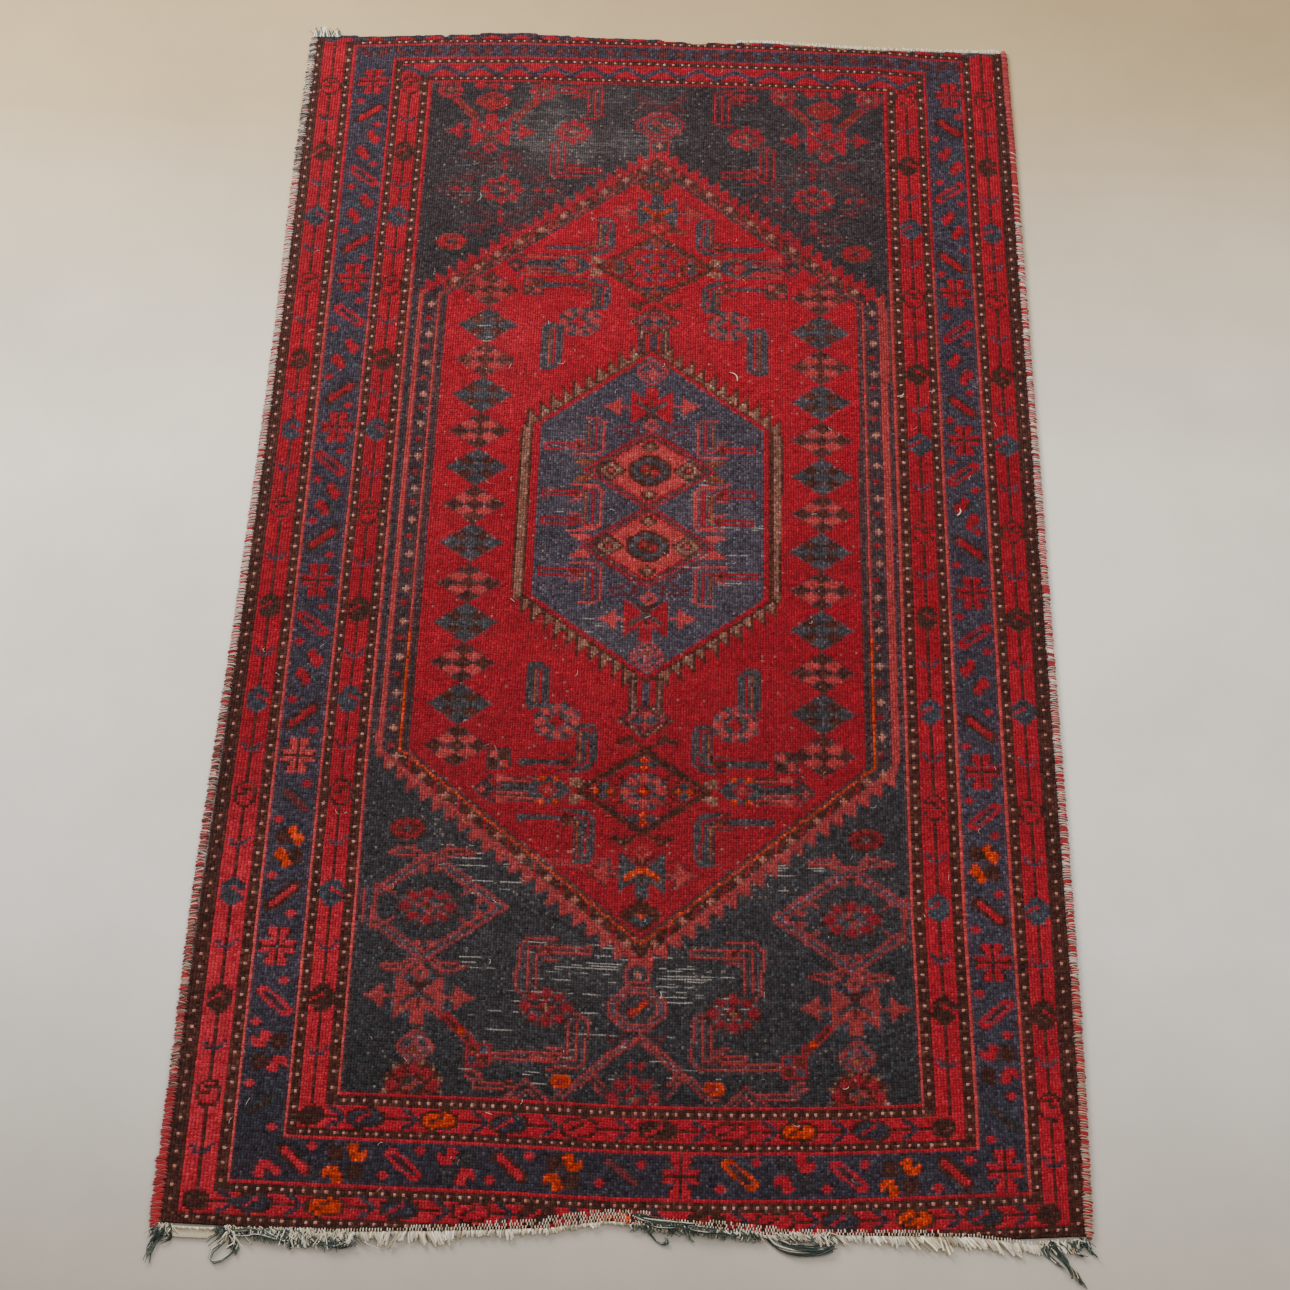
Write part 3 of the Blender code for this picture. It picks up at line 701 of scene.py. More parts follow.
# Red of the hexagon, upper half then lower half. Each half has a lozenge at its point, a square figure,
# a lozenge cluster between two flowers, six thick hooks, two rosettes, and a pendant over the medallion.
# for each half: which way up, then where each of these stands
HALVES = ((1, (660, 378), (662, 438), (663, 562), (662, 680), 752,
           ((576, 491, -1, 76, 95), (747, 491, 1, 76, 100)), ((570, 627, -1, 62, 96), (757, 627, 1, 62, 96)),
           ((458, 607), (867, 611)), ((539, 683), (786, 685)), ((493, 733, -1, 92), (834, 740, 1, 92)),
           ((522, 562, -1, 92), (798, 562, 1, 92))),
          (-1, (672, 1767), (671, 1703), (671, 1563), (669, 1442), 1363,
           ((581, 1644, -1, 82, 98), (761, 1646, 1, 82, 98)), ((582, 1490, -1, 76, 96), (757, 1490, 1, 76, 96)),
           ((452, 1511), (880, 1511)), ((535, 1447), (804, 1450)), ((504, 1387, -1, 72), (826, 1390, 1, 72)),
           ((527, 1563, -1, 92), (812, 1563, 1, 92))))
for (flip, point, animal_at, cluster_at, pendant_at, stem_end, hooks, reverse_hooks, squares, roses, low_hooks,
     flowers) in HALVES:
    spot = Spot(*point, 1, flip)
    spot.gem(0, 0, 30, 25, "n", 1.15)
    spot.gem(0, -7, 18, 11, "u", 1.15)
    spot.knots((".o.", "ooo"))
    star_animal(*animal_at, flip, "u", "o", gap="g", arrows="p", ring="p")
    for flower in flowers:
        side_flower(*flower)
    cluster(*cluster_at, flip)
    for turned, table in ((flip, hooks), (-flip, reverse_hooks)):
        for u, v, side, high, foot in table:
            solid_hook(u, v, -side, turned, high, foot)
    for place in squares:
        quarter_square(*place)
    for place in roses:
        rosette(*place, 36, 32, "u", eye="r")
    for u, v, side, high in low_hooks:
        spot = Spot(u, v, side, flip)
        heel = high / 2
        spot.path(((10, -heel), (-12, -heel + 4), (-14, heel - 8), (-4, heel), (12, heel)), 9.5, "u")
        spot.path(((14, -heel + 4), (14, heel)), 7.0, "u")
        spot.box(0, 0, 13, heel - 4, "u")
        spot.path(((-5, -heel + 9), (-5, heel - 9)), 4.0, "r")
        spot.path(((3, -heel + 9), (3, heel - 9)), 4.0, "d")
    pendant(*pendant_at, flip, stem_end)


# Medallion: a second long hexagon in blue, with tan teeth edged in brown and a red line inside them.
MEDALLION = {"top": (660.0, 746.0), "bottom": (668.0, 1368.0), "left": 479.5, "right": 851.0,
             "upper": (893.0, 900.0), "lower": (1222.0, 1226.0)}
inner_depth, inner_side = hexagon_depth(MEDALLION, 0.9)
inner_slope = slopes_only(MEDALLION, (0.814, 0.806, 0.775, 0.776))
beside = (U > MEDALLION["left"] - 25.5) & (U < MEDALLION["right"] + 25.5) & (V > 700) & (V < 1420)
beside &= (inner_slope > -12) & (inner_depth > -24.5)
tie(beside, "n")
tie(beside & (inner_side > -19.5), "t")
tie(beside & (inner_side > -7.5), "n")
stem_clear = np.abs(U - np.interp(V, (746, 1368), (660, 668))) < 14
teeth_before = chart.copy()
teeth(MEDALLION, inner_slope, (18.0, 18.0, 18.2, 18.2), 8.0, 45.0, 15.0, "t", outline="n")
chart[stem_clear] = teeth_before[stem_clear]
tie(inner_depth > -9, "n")
tie(inner_depth > -4.5, "r")
tie(inner_depth > 4.5, "m")


def stacked_lozenge(u, v):
    """One of the two big lozenges of the medallion: double outline, four rose quarters and a dark rosette."""
    spot = Spot(u, v, reach=140)
    spot.rings(0, 0, (108, 79, "r"), (102, 75, "g"), (92, 67, "r"), (86, 63, "p"))
    for a in (-1, 1):
        spot.rings(a * 62, 0, (26, 23, "n"), (20, 18, "t"), (11, 10, "n"), (6, 6, "p"))
        fork = Spot(u, v, a, reach=140)
        for b in (-1, 1):
            out = b * fork.b
            shape = (fork.a > 90) & (fork.a < 122) & (out < 22)
            shape &= (out > 7 + np.maximum(0, 104 - fork.a) * 0.6) & (out > 7 + np.maximum(0, fork.a - 108) * 0.9)
            fork.dye(shape, "d" if v < 1050 else "p")
        spot.rings(0, a * 47, (16, 13, "n"), (9, 8, "t"))
    spot.gem(0, 0, 36, 30, "n", 1.35)
    spot.gem(0, 0, 32, 26, "u", 1.35)
    spot.lozenges(8, 4.5, "n", *((a * x, b * y) for a, b in QUARTERS for x, y in ((28, 10), (12, 22))))
    spot.gem(0, 0, 18, 14, "n", 1.4)
    for side in (-1, 1):
        spot.dye((np.abs(spot.a - side * 8) < 6) & (np.abs(spot.b - side * 6) < 6), "r")
    spot.path(((-6, -4), (6, 4)), 4.0, "d")


def bow(u, v, flip):
    """The outlined bird heads at the open points of the stacked lozenges."""
    for side in (-1, 1):
        spot = Spot(u, v, side, flip)
        spot.paths(4.0, "v", ((8, 16), (22, 0), (32, -10), (52, -10), (62, 0), (46, 2), (38, 8), (30, 18), (84, 58)),
                   ((24, 6), (20, -12)))


for flip, end_at, eye, animal_at, bow_at in ((1, (662, 783), "p", (662, 852), (662, 905)),
                                             (-1, (668, 1330), "d", (666, 1264), (666, 1208))):
    chequer_lozenge(*end_at, 28, 27, flip, "p", "p", "m", eye)
    star_animal(*animal_at, flip, "r", "s", arrows="p", ring="p")
    bow(*bow_at, flip)
stacked_lozenge(663, 981)
stacked_lozenge(665, 1129)
MEDALLION_HOOKS = ((575, 915, -1, 1, 74, 82), (750, 918, 1, 1, 74, 82), (575, 1052, -1, -1, 84, 82),
                   (750, 1052, 1, -1, 84, 82), (575, 1056, -1, 1, 84, 82), (750, 1056, 1, 1, 84, 82),
                   (579, 1200, -1, -1, 74, 84), (752, 1200, 1, -1, 74, 84))
for u, v, side, flip, high, foot in MEDALLION_HOOKS:
    outlined_hook(u, v, -side, flip, high, foot)

# Corners, upper end: the same figures in fine red line on blue-black, with two big faint lozenges.


def faint_lozenge(u, v, half_u, half_v, line, fill, petals, cut_side=0):
    """A big double-outlined lozenge with small crosses: dotted, or plain and cut off at one side by the border."""
    spot = Spot(u, v, reach=140)
    size = np.abs(spot.a) / half_u + np.abs(spot.b) / half_v
    drawn = (cut_side * spot.a < half_u * 0.66) if cut_side else (np.round(spot.a / 4.02).astype(int) % 3 > 0)
    for low, high, letter in ((0.955, 1.0, line), (0.86, 0.955, fill), (0.80, 0.85, line)):
        if letter:
            spot.dye((size > low) & (size <= high) & drawn, letter)
    if cut_side:
        for at, letter in ((0.66, line), (0.705, fill), (0.745, fill), (0.79, line)):
            wall = np.abs(cut_side * spot.a - half_u * (1.45 - at)) < 2.1
            spot.dye(wall & (np.abs(spot.b) < half_v * (0.42 - 0.9 * (0.79 - at))), letter)
    for side in (-1, 1):
        if cut_side:
            spot.lozenges(6.5, 6.0, petals, (-9, side * half_v * 0.66), (9, side * half_v * 0.66))
            spot.lozenge(-cut_side * half_u * 0.62, side * 9, 7, 5.5, petals)
        else:
            spot.lozenges(7, 6, petals, (0, side * half_v * 0.62), (0, side * half_v * 0.82))
            spot.lozenges(8, 6.5, "r", (side * half_u * 0.52, 0), (side * half_u * 0.70, 0))
    for a, b in QUARTERS:
        spot.path(((a * half_u * 0.62, b * half_v * 0.38), (a * half_u * 0.40, b * half_v * 0.22)), 4.0, line)


def open_animal(u, v, flip, body="r"):
    """The square figure on the dark ground, in one dye."""
    star_animal(u, v, flip, body, "s", arrows=body, ring=body, outline="u")


for u, v in ((393, 396), (930, 406)):
    faint_lozenge(u, v, 116, 82, "v", None, "r")
    rosette(u, v, 40, 33, "s", "r", ("r", "s"), "o")
    bird_heads(u - (24 if u < 600 else -24), v - 78, 1, "v", 40, "v")
    bird_heads(u - 6, v + 82, -1, "v", 44, "v")
for u, v, side in ((291, 163, 1), (453, 165, -1), (877, 168, 1), (1029, 171, -1)):
    rosette(u, v, 24, 23, "s", "r", ("r", "n"), "t")
    spot = Spot(u, v, side)
    spot.bar(14, 26, 50, 66, 6.5, "r")
    spot.bar(16, 28, 48, 64, 3.6, "n")
    spot.lozenge(34, 50, 9, 6, "o")
for u, v in ((366, 156), (951, 160)):
    for a in (-24, 0, 24):
        Spot(u + a, v).gem(0, -2 if a else 0, 9, 7, "r")
for u, v in ((366, 192), (951, 198)):
    chequer_lozenge(u, v, 31, 23, 1, "r", "r", "n", "r")
open_animal(366, 258, 1)
open_animal(955, 265, 1)
for u, v in ((314, 514), (1003, 523)):
    rosette(u, v, 26, 19, "n", "r", ("r", "n"), "u")
# a small hexagon hangs on two lines from each end of the field, with bird heads at its point
for u, v, flip, stem, high, line, bird in ((662, 238, 1, 92, 31, "r", "v"), (670, 1910, -1, 88, 36, "p", "p")):
    spot = Spot(u, v, 1, flip, reach=120)
    for half_a, less, letter in ((41, 0, line), (36.5, 4, "u"), (31, 8, line), (26.5, 12, "s")):
        spot.gem(0, 0, half_a, high - less, letter, 1.32)
    spot.lozenges(9, 8, "r", (-8, -6), (10, 8))
    spot.path(((-8, -8), (12, 8)), 5.0, "o")
    for side in (-1, 1):
        spot.path(((side * 15, high + 4), (side * 15, stem + 4)), 4.2, line)
    spot.path(((-15, high + 4), (15, high + 4)), 4.0, line)
    Spot(u, v + flip * (high + 17), reach=20).knots(CROSS)
    spot.lozenge(0, high + 42, 5.5, 5, "r")
    for side in (-1, 1):
        for b in (0, 12):
            spot.path(((6, -high - 4 - b * 0.4), (side * 44, -high - 34 - b)), 4.0, bird)
        spot.path(((side * 20, -high - 6), (side * 36, -high - 14), (side * 40, -high - 2)), 3.8, "v")
CORNER_HOOKS = ((548, 186, -1, -1, 84, 60, 0), (772, 198, 1, -1, 84, 60, 0), (484, 321, -1, 1, 84, 78, 1),
                (852, 329, 1, 1, 84, 78, 1), (512, 1848, -1, -1, 86, 88, 1), (833, 1852, 1, -1, 86, 90, 1),
                (586, 1962, -1, 1, 82, 60, 0), (762, 1962, 1, 1, 82, 60, 0))
for u, v, side, flip, high, foot, inward in CORNER_HOOKS:
    turned = side if inward else -side
    line = "r" if v < 900 else "p"
    outlined_hook(u, v, turned, flip, high, foot, line, line, line)
    if v > 900:
        spot = Spot(u, v, turned, flip)
        spot.path(((7, -high / 2 + 12), (7, high / 2 - 10)), 3.6, "u")
for u, v in ((512, 258), (813, 265)):
    rosette(u, v, 33, 31, "s", "r", ("r", "s"), "t")
for u, v in ((539, 1912), (805, 1918)):
    rosette(u, v, 38, 31, "s", "r", ("r", "n"), "t", tips="n")

# Corners, lower end: brighter lines, blue between them, and figures cut off by the border.
faint_lozenge(362, 1755, 118, 88, "p", "u", "p", -1)
faint_lozenge(975, 1768, 118, 88, "p", "u", "p", 1)
for u, v in ((362, 1757), (975, 1768)):
    rosette(u, v, 44, 31, "s", "r", ("p", "u"), "n", tips="n")
    bird_heads(u, v - 86, 1, "p", 50, "p")
    bird_heads(u, v + 90, -1, "p", 48, "p")
open_animal(360, 1899, -1, "p")
open_animal(979, 1908, -1, "p")
for u, v in ((325, 1632), (1000, 1640)):
    rosette(u, v, 28, 18, "n", "r", ("r", "n"), "u")
for u, v in ((360, 1971), (981, 1980)):
    chequer_lozenge(u, v, 28, 26, 1, "p", "p", "u", "d")
for u, v in ((361, 2030), (983, 2038)):
    rosette(u, v, 40, 36, "n", "r", ("u", "p"), "d", tips="t")
rosette(669, 2046, 38, 36, "s", "r", ("r", "u"), "t", tips="v")
for side, u, v in ((-1, 451, 1983), (1, 892, 1994)):
    quarter_square(u, v, side, "u", "r")
    spot = Spot(u, v, side)
    spot.bar(14, -22, 48, -56, 6.5, "r")
    spot.bar(15, -23, 47, -55, 3.0, "n")
    spot.lozenge(26, -34, 7, 6, "o")
    spot.paths(4.0, "p", ((-17, -4), (-100, -4)), ((-17, 5), (-100, 5)), ((14, 22), (-4, 28), (-4, 40), (-50, 40)),
               ((16, 30), (6, 36), (2, 48), (-52, 48)))
    spot.path(((12, 36), (2, 44)), 4.0, "u")
for side, u, v in ((-1, 519, 2035), (1, 825, 2042)):
    spot = Spot(u, v, side)
    spot.path(((28, 12), (0, -16), (-28, 12)), 6.0, "p")
    spot.path(((14, 12), (0, -2), (-14, 12)), 4.0, "p")
    Spot(u - side * 47, v - 13, side).gem(0, 0, 13, 10, "o", 1.5)
    spot.gem(-47, -13, 6, 4, "r", 1.5)
for side in (-1, 1):
    spot = Spot(670, 1958, side, reach=140)
    spot.paths(4.2, "p", ((4, 0), (100, 86)), ((16, 0), (112, 86)))
    spot.path(((10, 0), (106, 86)), 4.6, "u")
    spot.paths(4.2, "p", ((62, 44), (44, 66)), ((70, 50), (46, 80)))
    Spot(670 + side * 9, 1995, reach=20).knots((".r.", "rrr", ".r."))
# The border cuts off whatever runs under it.
chart[code < 10] = border[code < 10]
# Pile cloth, its wool. The yarn was dyed in small lots, so each dye shifts in bands along the rug, and sun,
# dust and wear have paled it unevenly: each knot gets its own colour, kept as an attribute of the mesh.
DYE_HEX = {"b": "33313a", "k": "2a2a2c", "r": "a01123", "n": "4c241c", "p": "b83c3d", "o": "c23510", "t": "825547",
           "c": "b98472", "u": "30343a", "m": "393840", "v": "6b2028", "g": "30282b", "s": "322f30", "d": "7e3b2a"}
rng = np.random.default_rng(1931)


def to_linear(hex_colour):
    """Turn an sRGB hex value into linear red, green and blue."""
    value = np.array([int(hex_colour[i:i + 2], 16) for i in (0, 2, 4)]) / 255.0
    return np.where(value <= 0.04045, value / 12.92, ((value + 0.055) / 1.055) ** 2.4)


def soft_noise(cells, shape=(ROWS, COLUMNS)):
    """Return smooth random values from -1 to 1 over the knots, with so many cells along and across."""
    coarse = rng.uniform(-1.0, 1.0, (cells[0] + 2, cells[1] + 2))
    along = np.linspace(0.0, cells[0], shape[0])[:, None] + np.zeros(shape)
    across = np.linspace(0.0, cells[1], shape[1])[None, :] + np.zeros(shape)
    i, j = along.astype(int), across.astype(int)
    s, t = along - i, across - j
    s, t = s * s * (3 - 2 * s), t * t * (3 - 2 * t)
    upper = coarse[i, j] * (1 - t) + coarse[i, j + 1] * t
    lower = coarse[i + 1, j] * (1 - t) + coarse[i + 1, j + 1] * t
    return upper * (1 - s) + lower * s


def ramp(low, high, value):
    """Go from 0 to 1 as value goes from low to high, smoothly."""
    t = np.clip((value - low) / (high - low), 0.0, 1.0)
    return t * t * (3.0 - 2.0 * t)


def patch(u, v, half_u, half_v):
    """Return 1 at the middle of a place on the cartoon and 0 outside it."""
    return np.clip(1.0 - ((U - u) / half_u) ** 2 - ((V - v) / half_v) ** 2, 0.0, 1.0)


def shade(where, factor):
    """Multiply the wool's colour in one part by a factor: a number or a colour, for all of it or for each knot."""
    factor = np.asarray(factor)
    factor = factor[..., None] if factor.shape == chart.shape else factor
    wool[:] = np.where(where[..., None], wool * factor, wool)


def add_light(amount, colour):
    """Add a colour to the wool, by an amount for each knot."""
    wool[:] = wool + np.asarray(amount)[..., None] * np.array(colour)


field, high_up = code == 10, V < 620
upper_corner = field & high_up & (depth < 0)
tie(upper_corner & dyed("o"), "d")
wool = np.array([to_linear(DYE_HEX[letter]) for letter in DYES])[chart]
# the edges of each shape are soft: fibres of one knot lie over the next
around = sum(np.roll(wool, shift, axis) for axis in (0, 1) for shift in (-1, 1)) / 4.0
wool = 0.82 * wool + 0.18 * around
dark, red = dyed("bkgsum"), dyed("rpv")
# dye lots: bands a few to fifty rows deep, in the reds apart from the other dyes
lots = 0.07 * soft_noise((34, 1)) + 0.05 * soft_noise((90, 2)) + 0.04 * soft_noise((12, 3))
lots_red = (0.05 + 0.05 * (code < 10)) * soft_noise((34, 3)) + 0.04 * soft_noise((80, 4)) + 0.03 * soft_noise((10, 4))
shade(red, np.exp(lots_red))
shade(~red, np.exp(lots))
# the reds darken towards the lower end of the field, partly wear and partly painted shade of the falling light; the
# darks are lightened most in the middle of the rug, and their left side is painted darker, in shade
deeper = 1.0 - 0.17 * ramp(850.0, 1500.0, V) * field
deeper += ~field * (0.10 * ramp(1500.0, 1800.0, V) - 0.08 * ramp(500.0, 900.0, V))
dark_gain = np.interp(V, (0, 800, 1200, 1500, 1900, 2080, 2300), (1.20, 1.26, 1.32, 1.38, 1.36, 0.98, 0.88))
shade(red, deeper)
shade(dark, dark_gain * (1.0 + 0.00011 * (U - 655.0)))
field_dark = field & dyed("bkgsu")
shade(field_dark & (depth > 0), np.array((1.34, 1.22, 1.10)) - 0.22 * ramp(1100.0, 1400.0, V)[..., None])
shade(field_dark & (depth <= 0), np.where(V > 1400, 1.12, 1.10))
corner_red = red & field & (depth < -10)
wool[corner_red] = 0.86 * wool[corner_red] + 0.14 * to_linear("3a3134")
# faded darks turn reddish; the rose is deeper at the upper end, and the cream dots cleaner in the border
reddish = 1.0 - ramp(1100.0, 2000.0, V)[..., None]
shade(dark, np.array((1.06, 0.95, 0.98)) + reddish * np.array((0.02, -0.09, -0.06)))
shade(dyed("p"), np.interp(V, (0.0, 700.0, 1100.0, 1500.0, 2000.0), (0.66, 0.76, 1.02, 1.00, 0.88)))
beside_middle = (V > 600) & (V < 1520)
shade(dyed("c") & field & beside_middle, (0.98, 0.76, 0.76))
shade(dyed("c") & field & ~beside_middle, (0.82, 0.52, 0.52))
shade(dyed("c") & ~field, (1.55 - 0.25 * ramp(500.0, 1800.0, V))[..., None] * np.array((1.0, 0.86, 0.88)))
shade(dyed("n") & ~field, (0.80, 0.97, 1.05))
shade(dyed("n") & field, 1.0 + 0.45 * (1.0 - ramp(620.0, 1000.0, V)))
# painted sheen: the reds lighter and pinker towards the lower end, the border's most, and most of all at the lower left
# corner, where the pile's lean catches the light
pinker_sheen, lower_left_sheen = ramp(1100.0, 1900.0, V), patch(80, 1900, 220, 420)
shade(red, 1.0 + 0.14 * pinker_sheen * ~field + 0.26 * lower_left_sheen)
add_light(red * (pinker_sheen + 2.0 * lower_left_sheen), (0.0, 0.0045, 0.0045))
shade(dyed("o") & high_up, 0.62)
shade(dark & upper_corner, (1.08, 0.95, 0.91))
# tufts in small groups and each knot on its own
groups = 0.10 * soft_noise((190, 105)) + 0.06 * soft_noise((90, 50))
unevenness = np.where(red, 0.16, np.where(dyed("c"), 0.08, 0.32))
wool *= np.exp(groups + rng.normal(0.0, 1.0, chart.shape) * unevenness)[..., None]
wool[..., 1:] *= np.exp(rng.normal(0.0, 0.12, chart.shape))[..., None]
# where the pile is worn down, the pale foundation and dust show through as grey: strength, place and reach
BARE_PATCHES = ((0.9, 560, 235, 190, 150), (0.5, 420, 330, 170, 190), (0.35, 900, 300, 190, 190),
                (0.45, 600, 1845, 230, 60), (0.8, 860, 1695, 120, 70), (0.8, 505, 1690, 150, 60),
                (0.6, 380, 1600, 60, 60), (0.5, 600, 1290, 130, 60), (0.45, 760, 1120, 110, 200),
                (0.5, 530, 960, 60, 150), (1.0, 742, 1880, 70, 58), (0.7, 598, 1850, 60, 55),
                (0.4, 385, 1275, 55, 34), (0.35, 620, 1960, 330, 90), (0.15, 400, 760, 130, 160))
bare = sum(strength * patch(*place) for strength, *place in BARE_PATCHES)
bare = np.clip(bare * (0.65 + 0.5 * soft_noise((60, 40))), 0.0, 1.0) * field
dusty = np.where(dark, 1.0, 0.4) * np.where(high_up, 0.6, np.where(V < 1500, 0.9, 0.25))
add_light(0.045 * bare * dusty, (1.0, 0.90, 0.86))
specks = (rng.random(chart.shape) < 0.005 + 0.03 * bare) & field
wool[specks] = 0.6 * wool[specks] + 0.4 * to_linear("9a8678")
# painted sheen: a faint pinkish grey haze over all the pile, in broad patches
add_light(0.0045 * (0.5 + 0.5 * soft_noise((16, 9))), (1.0, 0.72, 0.70))
wool = np.clip(0.90 * wool, 0.002, 0.95)

# Pile cloth, its surface. Each row of tufts leans over the one below it, towards the lower end, so a row is
# a low ridge with its crest near its lower side; worn dyes and the trodden field lie a little lower.
CLOTH_THICKNESS, FIELD_WEAR = 0.0060, 0.0009
# how far each dye's tufts have worn below the others: brown and black corrode first
DYE_WEAR = {"n": 0.0008, "k": 0.0006, "g": 0.0005, "s": 0.0005, "t": 0.0004, "c": -0.0002, "u": 0.0003}
BORDER_WIDTH, WEAR_BLEND = 215.0, 60.0
# where the lower end stands off the floor: x, half its width and how high, and how far in it reaches
END_LIFTS = ((-0.350, 0.130, 0.0030), (0.060, 0.110, 0.0024))
LIFT_DEPTH = 0.070
LOWER_END = ((-0.632, -1.086), (-0.380, -1.090), (-0.190, -1.082), (-0.100, -1.077), (-0.020, -1.066), (0.090, -1.071),
             (0.190, -1.080), (0.470, -1.076), (0.550, -1.085), (0.632, -1.077))
UPPER_END = ((-0.622, 1.122), (-0.430, 1.125), (-0.300, 1.134), (-0.235, 1.135), (-0.150, 1.127), (-0.020, 1.124),
             (0.060, 1.116), (0.190, 1.118), (0.360, 1.105), (0.626, 1.098))
CREST_AT, RIDGE = 0.36, 0.00075
FOUNDATION_LEVEL = 0.0017
STRIPS = (0, 75, 151, 227, 302)


def lift_at(x, y):
    """Return how far the cloth's underside stands off the floor."""
    rise = sum(height * 0.5 * (1.0 + np.cos(np.pi * np.minimum(np.abs(x - centre) / half_width, 1.0)))
               for centre, half_width, height in END_LIFTS)
    return rise * (1.0 - ramp(0.0, LIFT_DEPTH, y - wander(LOWER_END, x)))


X, Y = on_floor(U, V)
end_rag = 0.0016 * soft_noise((1, 95)) + 0.0012 * soft_noise((1, 40))
kept = (Y > wander(LOWER_END, X) + end_rag) & (Y < wander(UPPER_END, X) - 0.0008 + end_rag)
from_side = np.minimum(U - wander(PILE_LEFT, V), wander(PILE_RIGHT, V) - U)
inner = ramp(BORDER_WIDTH - WEAR_BLEND, BORDER_WIDTH, from_side)
inner = inner * ramp(BORDER_WIDTH - WEAR_BLEND, BORDER_WIDTH, np.minimum(V - 40.0, 2240.0 - V))
worn = np.array([DYE_WEAR.get(letter, 0.0) for letter in DYES])[chart]
tuft = CLOTH_THICKNESS - 0.0004 - FIELD_WEAR * inner - worn * 0.9 - 0.0009 * bare
fluff = np.where(field, 0.00016, 0.00040)
tuft = tuft + fluff * (soft_noise((150, 84)) + 0.7 * soft_noise((260, 145))) + rng.normal(0.0, 0.00026, chart.shape)
tuft = np.where(kept, tuft, FOUNDATION_LEVEL)

knot_lines, row_lines = np.arange(COLUMNS + 1.0), np.arange(2 * ROWS + 1) / 2.0
line_column, line_row = np.meshgrid(knot_lines, row_lines)
crest = (row_lines % 1.0 == 0.5)[:, None]
line_x, line_y = on_floor(*cartoon_places(line_column, line_row + crest * (CREST_AT - 0.5)))
line_x += 0.0004 * soft_noise((200, 110), line_x.shape) + rng.normal(0.0, 0.00022, line_x.shape)
line_y += 0.0004 * soft_noise((200, 90), line_x.shape) + rng.normal(0.0, 0.00018, line_x.shape)
padded = np.pad(tuft, 1, mode="edge")
beside_each = 0.5 * (padded[:, :-1] + padded[:, 1:])
line_z = np.empty(line_x.shape)
line_z[1::2] = beside_each[1:-1] + rng.normal(0.0, 0.00020, line_z[1::2].shape)
line_z[0::2] = np.minimum(beside_each[:-1], beside_each[1:]) - RIDGE
line_z = line_z + lift_at(line_x, line_y)


def flat_grid(name, x, y, z, colour, keep, across, along, up=True, slices=3):
    """Make a mesh from a grid of points: a colour for each face, a bake layout in slices and a map of the knots."""
    rows, columns = keep.shape
    index = np.arange(x.size).reshape(x.shape)
    corners = np.stack((index[:-1, :-1], index[:-1, 1:], index[1:, 1:], index[1:, :-1]), -1)
    i, j = np.meshgrid(np.arange(rows), np.arange(columns), indexing="ij")
    at = np.stack((np.stack((j, i), -1), np.stack((j + 1, i), -1), np.stack((j + 1, i + 1), -1),
                   np.stack((j, i + 1), -1)), 2)[keep].astype(float)
    quads = corners[keep]
    if not up:
        quads, at = quads[:, ::-1], at[:, ::-1]
    used, flat = np.unique(quads, return_inverse=True)
    mesh = bpy.data.meshes.new(name)
    mesh.vertices.add(len(used))
    mesh.vertices.foreach_set("co", np.stack((x.flat[used], y.flat[used], z.flat[used]), -1).ravel())
    mesh.loops.add(quads.size)
    mesh.loops.foreach_set("vertex_index", flat.ravel())
    mesh.polygons.add(len(quads))
    mesh.polygons.foreach_set("loop_start", np.arange(0, quads.size, 4))
    mesh.update(calc_edges=True)
    paint = mesh.attributes.new("dye", "FLOAT_COLOR", "FACE")
    paint.data.foreach_set("color", np.concatenate((colour[keep], np.ones((len(quads), 1))), 1).ravel())
    size = math.ceil(rows / slices)
    strip = np.repeat((i[keep] // size)[:, None], 4, 1)
    bake_u = (strip + 0.02 + 0.96 * at[..., 0] / columns) / slices
    bake_v = 0.01 + 0.98 * (at[..., 1] - strip * size) / size
    places = across[at[..., 0].astype(int)], along[at[..., 1].astype(int)]
    for layer, values in (("OFBake", (bake_u, bake_v)), ("knots", places)):
        mesh.uv_layers.new(name=layer).data.foreach_set("uv", np.stack(values, -1).ravel())
    piece = bpy.data.objects.new(name, mesh)
    bpy.context.scene.collection.objects.link(piece)
    return piece


def add_node(tree, kind, inputs=None, **settings):
    """Add a node with its settings. An input is given as a value, as a socket, or as a node for its first output."""
    node = tree.nodes.new(kind)
    for setting, value in settings.items():
        setattr(node, setting, value)
    for socket, value in (inputs or {}).items():
        if isinstance(value, bpy.types.Node):
            value = value.outputs[0]
        if isinstance(value, bpy.types.NodeSocket):
            tree.links.new(value, node.inputs[socket])
        else:
            node.inputs[socket].default_value = value
    return node


def calculate(tree, operation, *values):
    """Add a node that calculates with one to three values."""
    return add_node(tree, "ShaderNodeMath", dict(enumerate(values)), operation=operation)


def map_range(tree, value, low, high, to_low, to_high):
    """Add a node that brings a value from one range to another."""
    return add_node(tree, "ShaderNodeMapRange", {0: value, 1: low, 2: high, 3: to_low, 4: to_high})


def new_material(name, roughness, sheen=0.0, specular=0.5):
    """Start a material with a plain shader and return it with its tree and its shader."""
    material = bpy.data.materials.new(name)
    material.use_nodes = True
    shader = material.node_tree.nodes["Principled BSDF"]
    for socket, value in (("Roughness", roughness), ("Sheen Weight", sheen), ("Sheen Roughness", 0.55),
                          ("Specular IOR Level", specular)):
        shader.inputs[socket].default_value = value
    return material, material.node_tree, shader


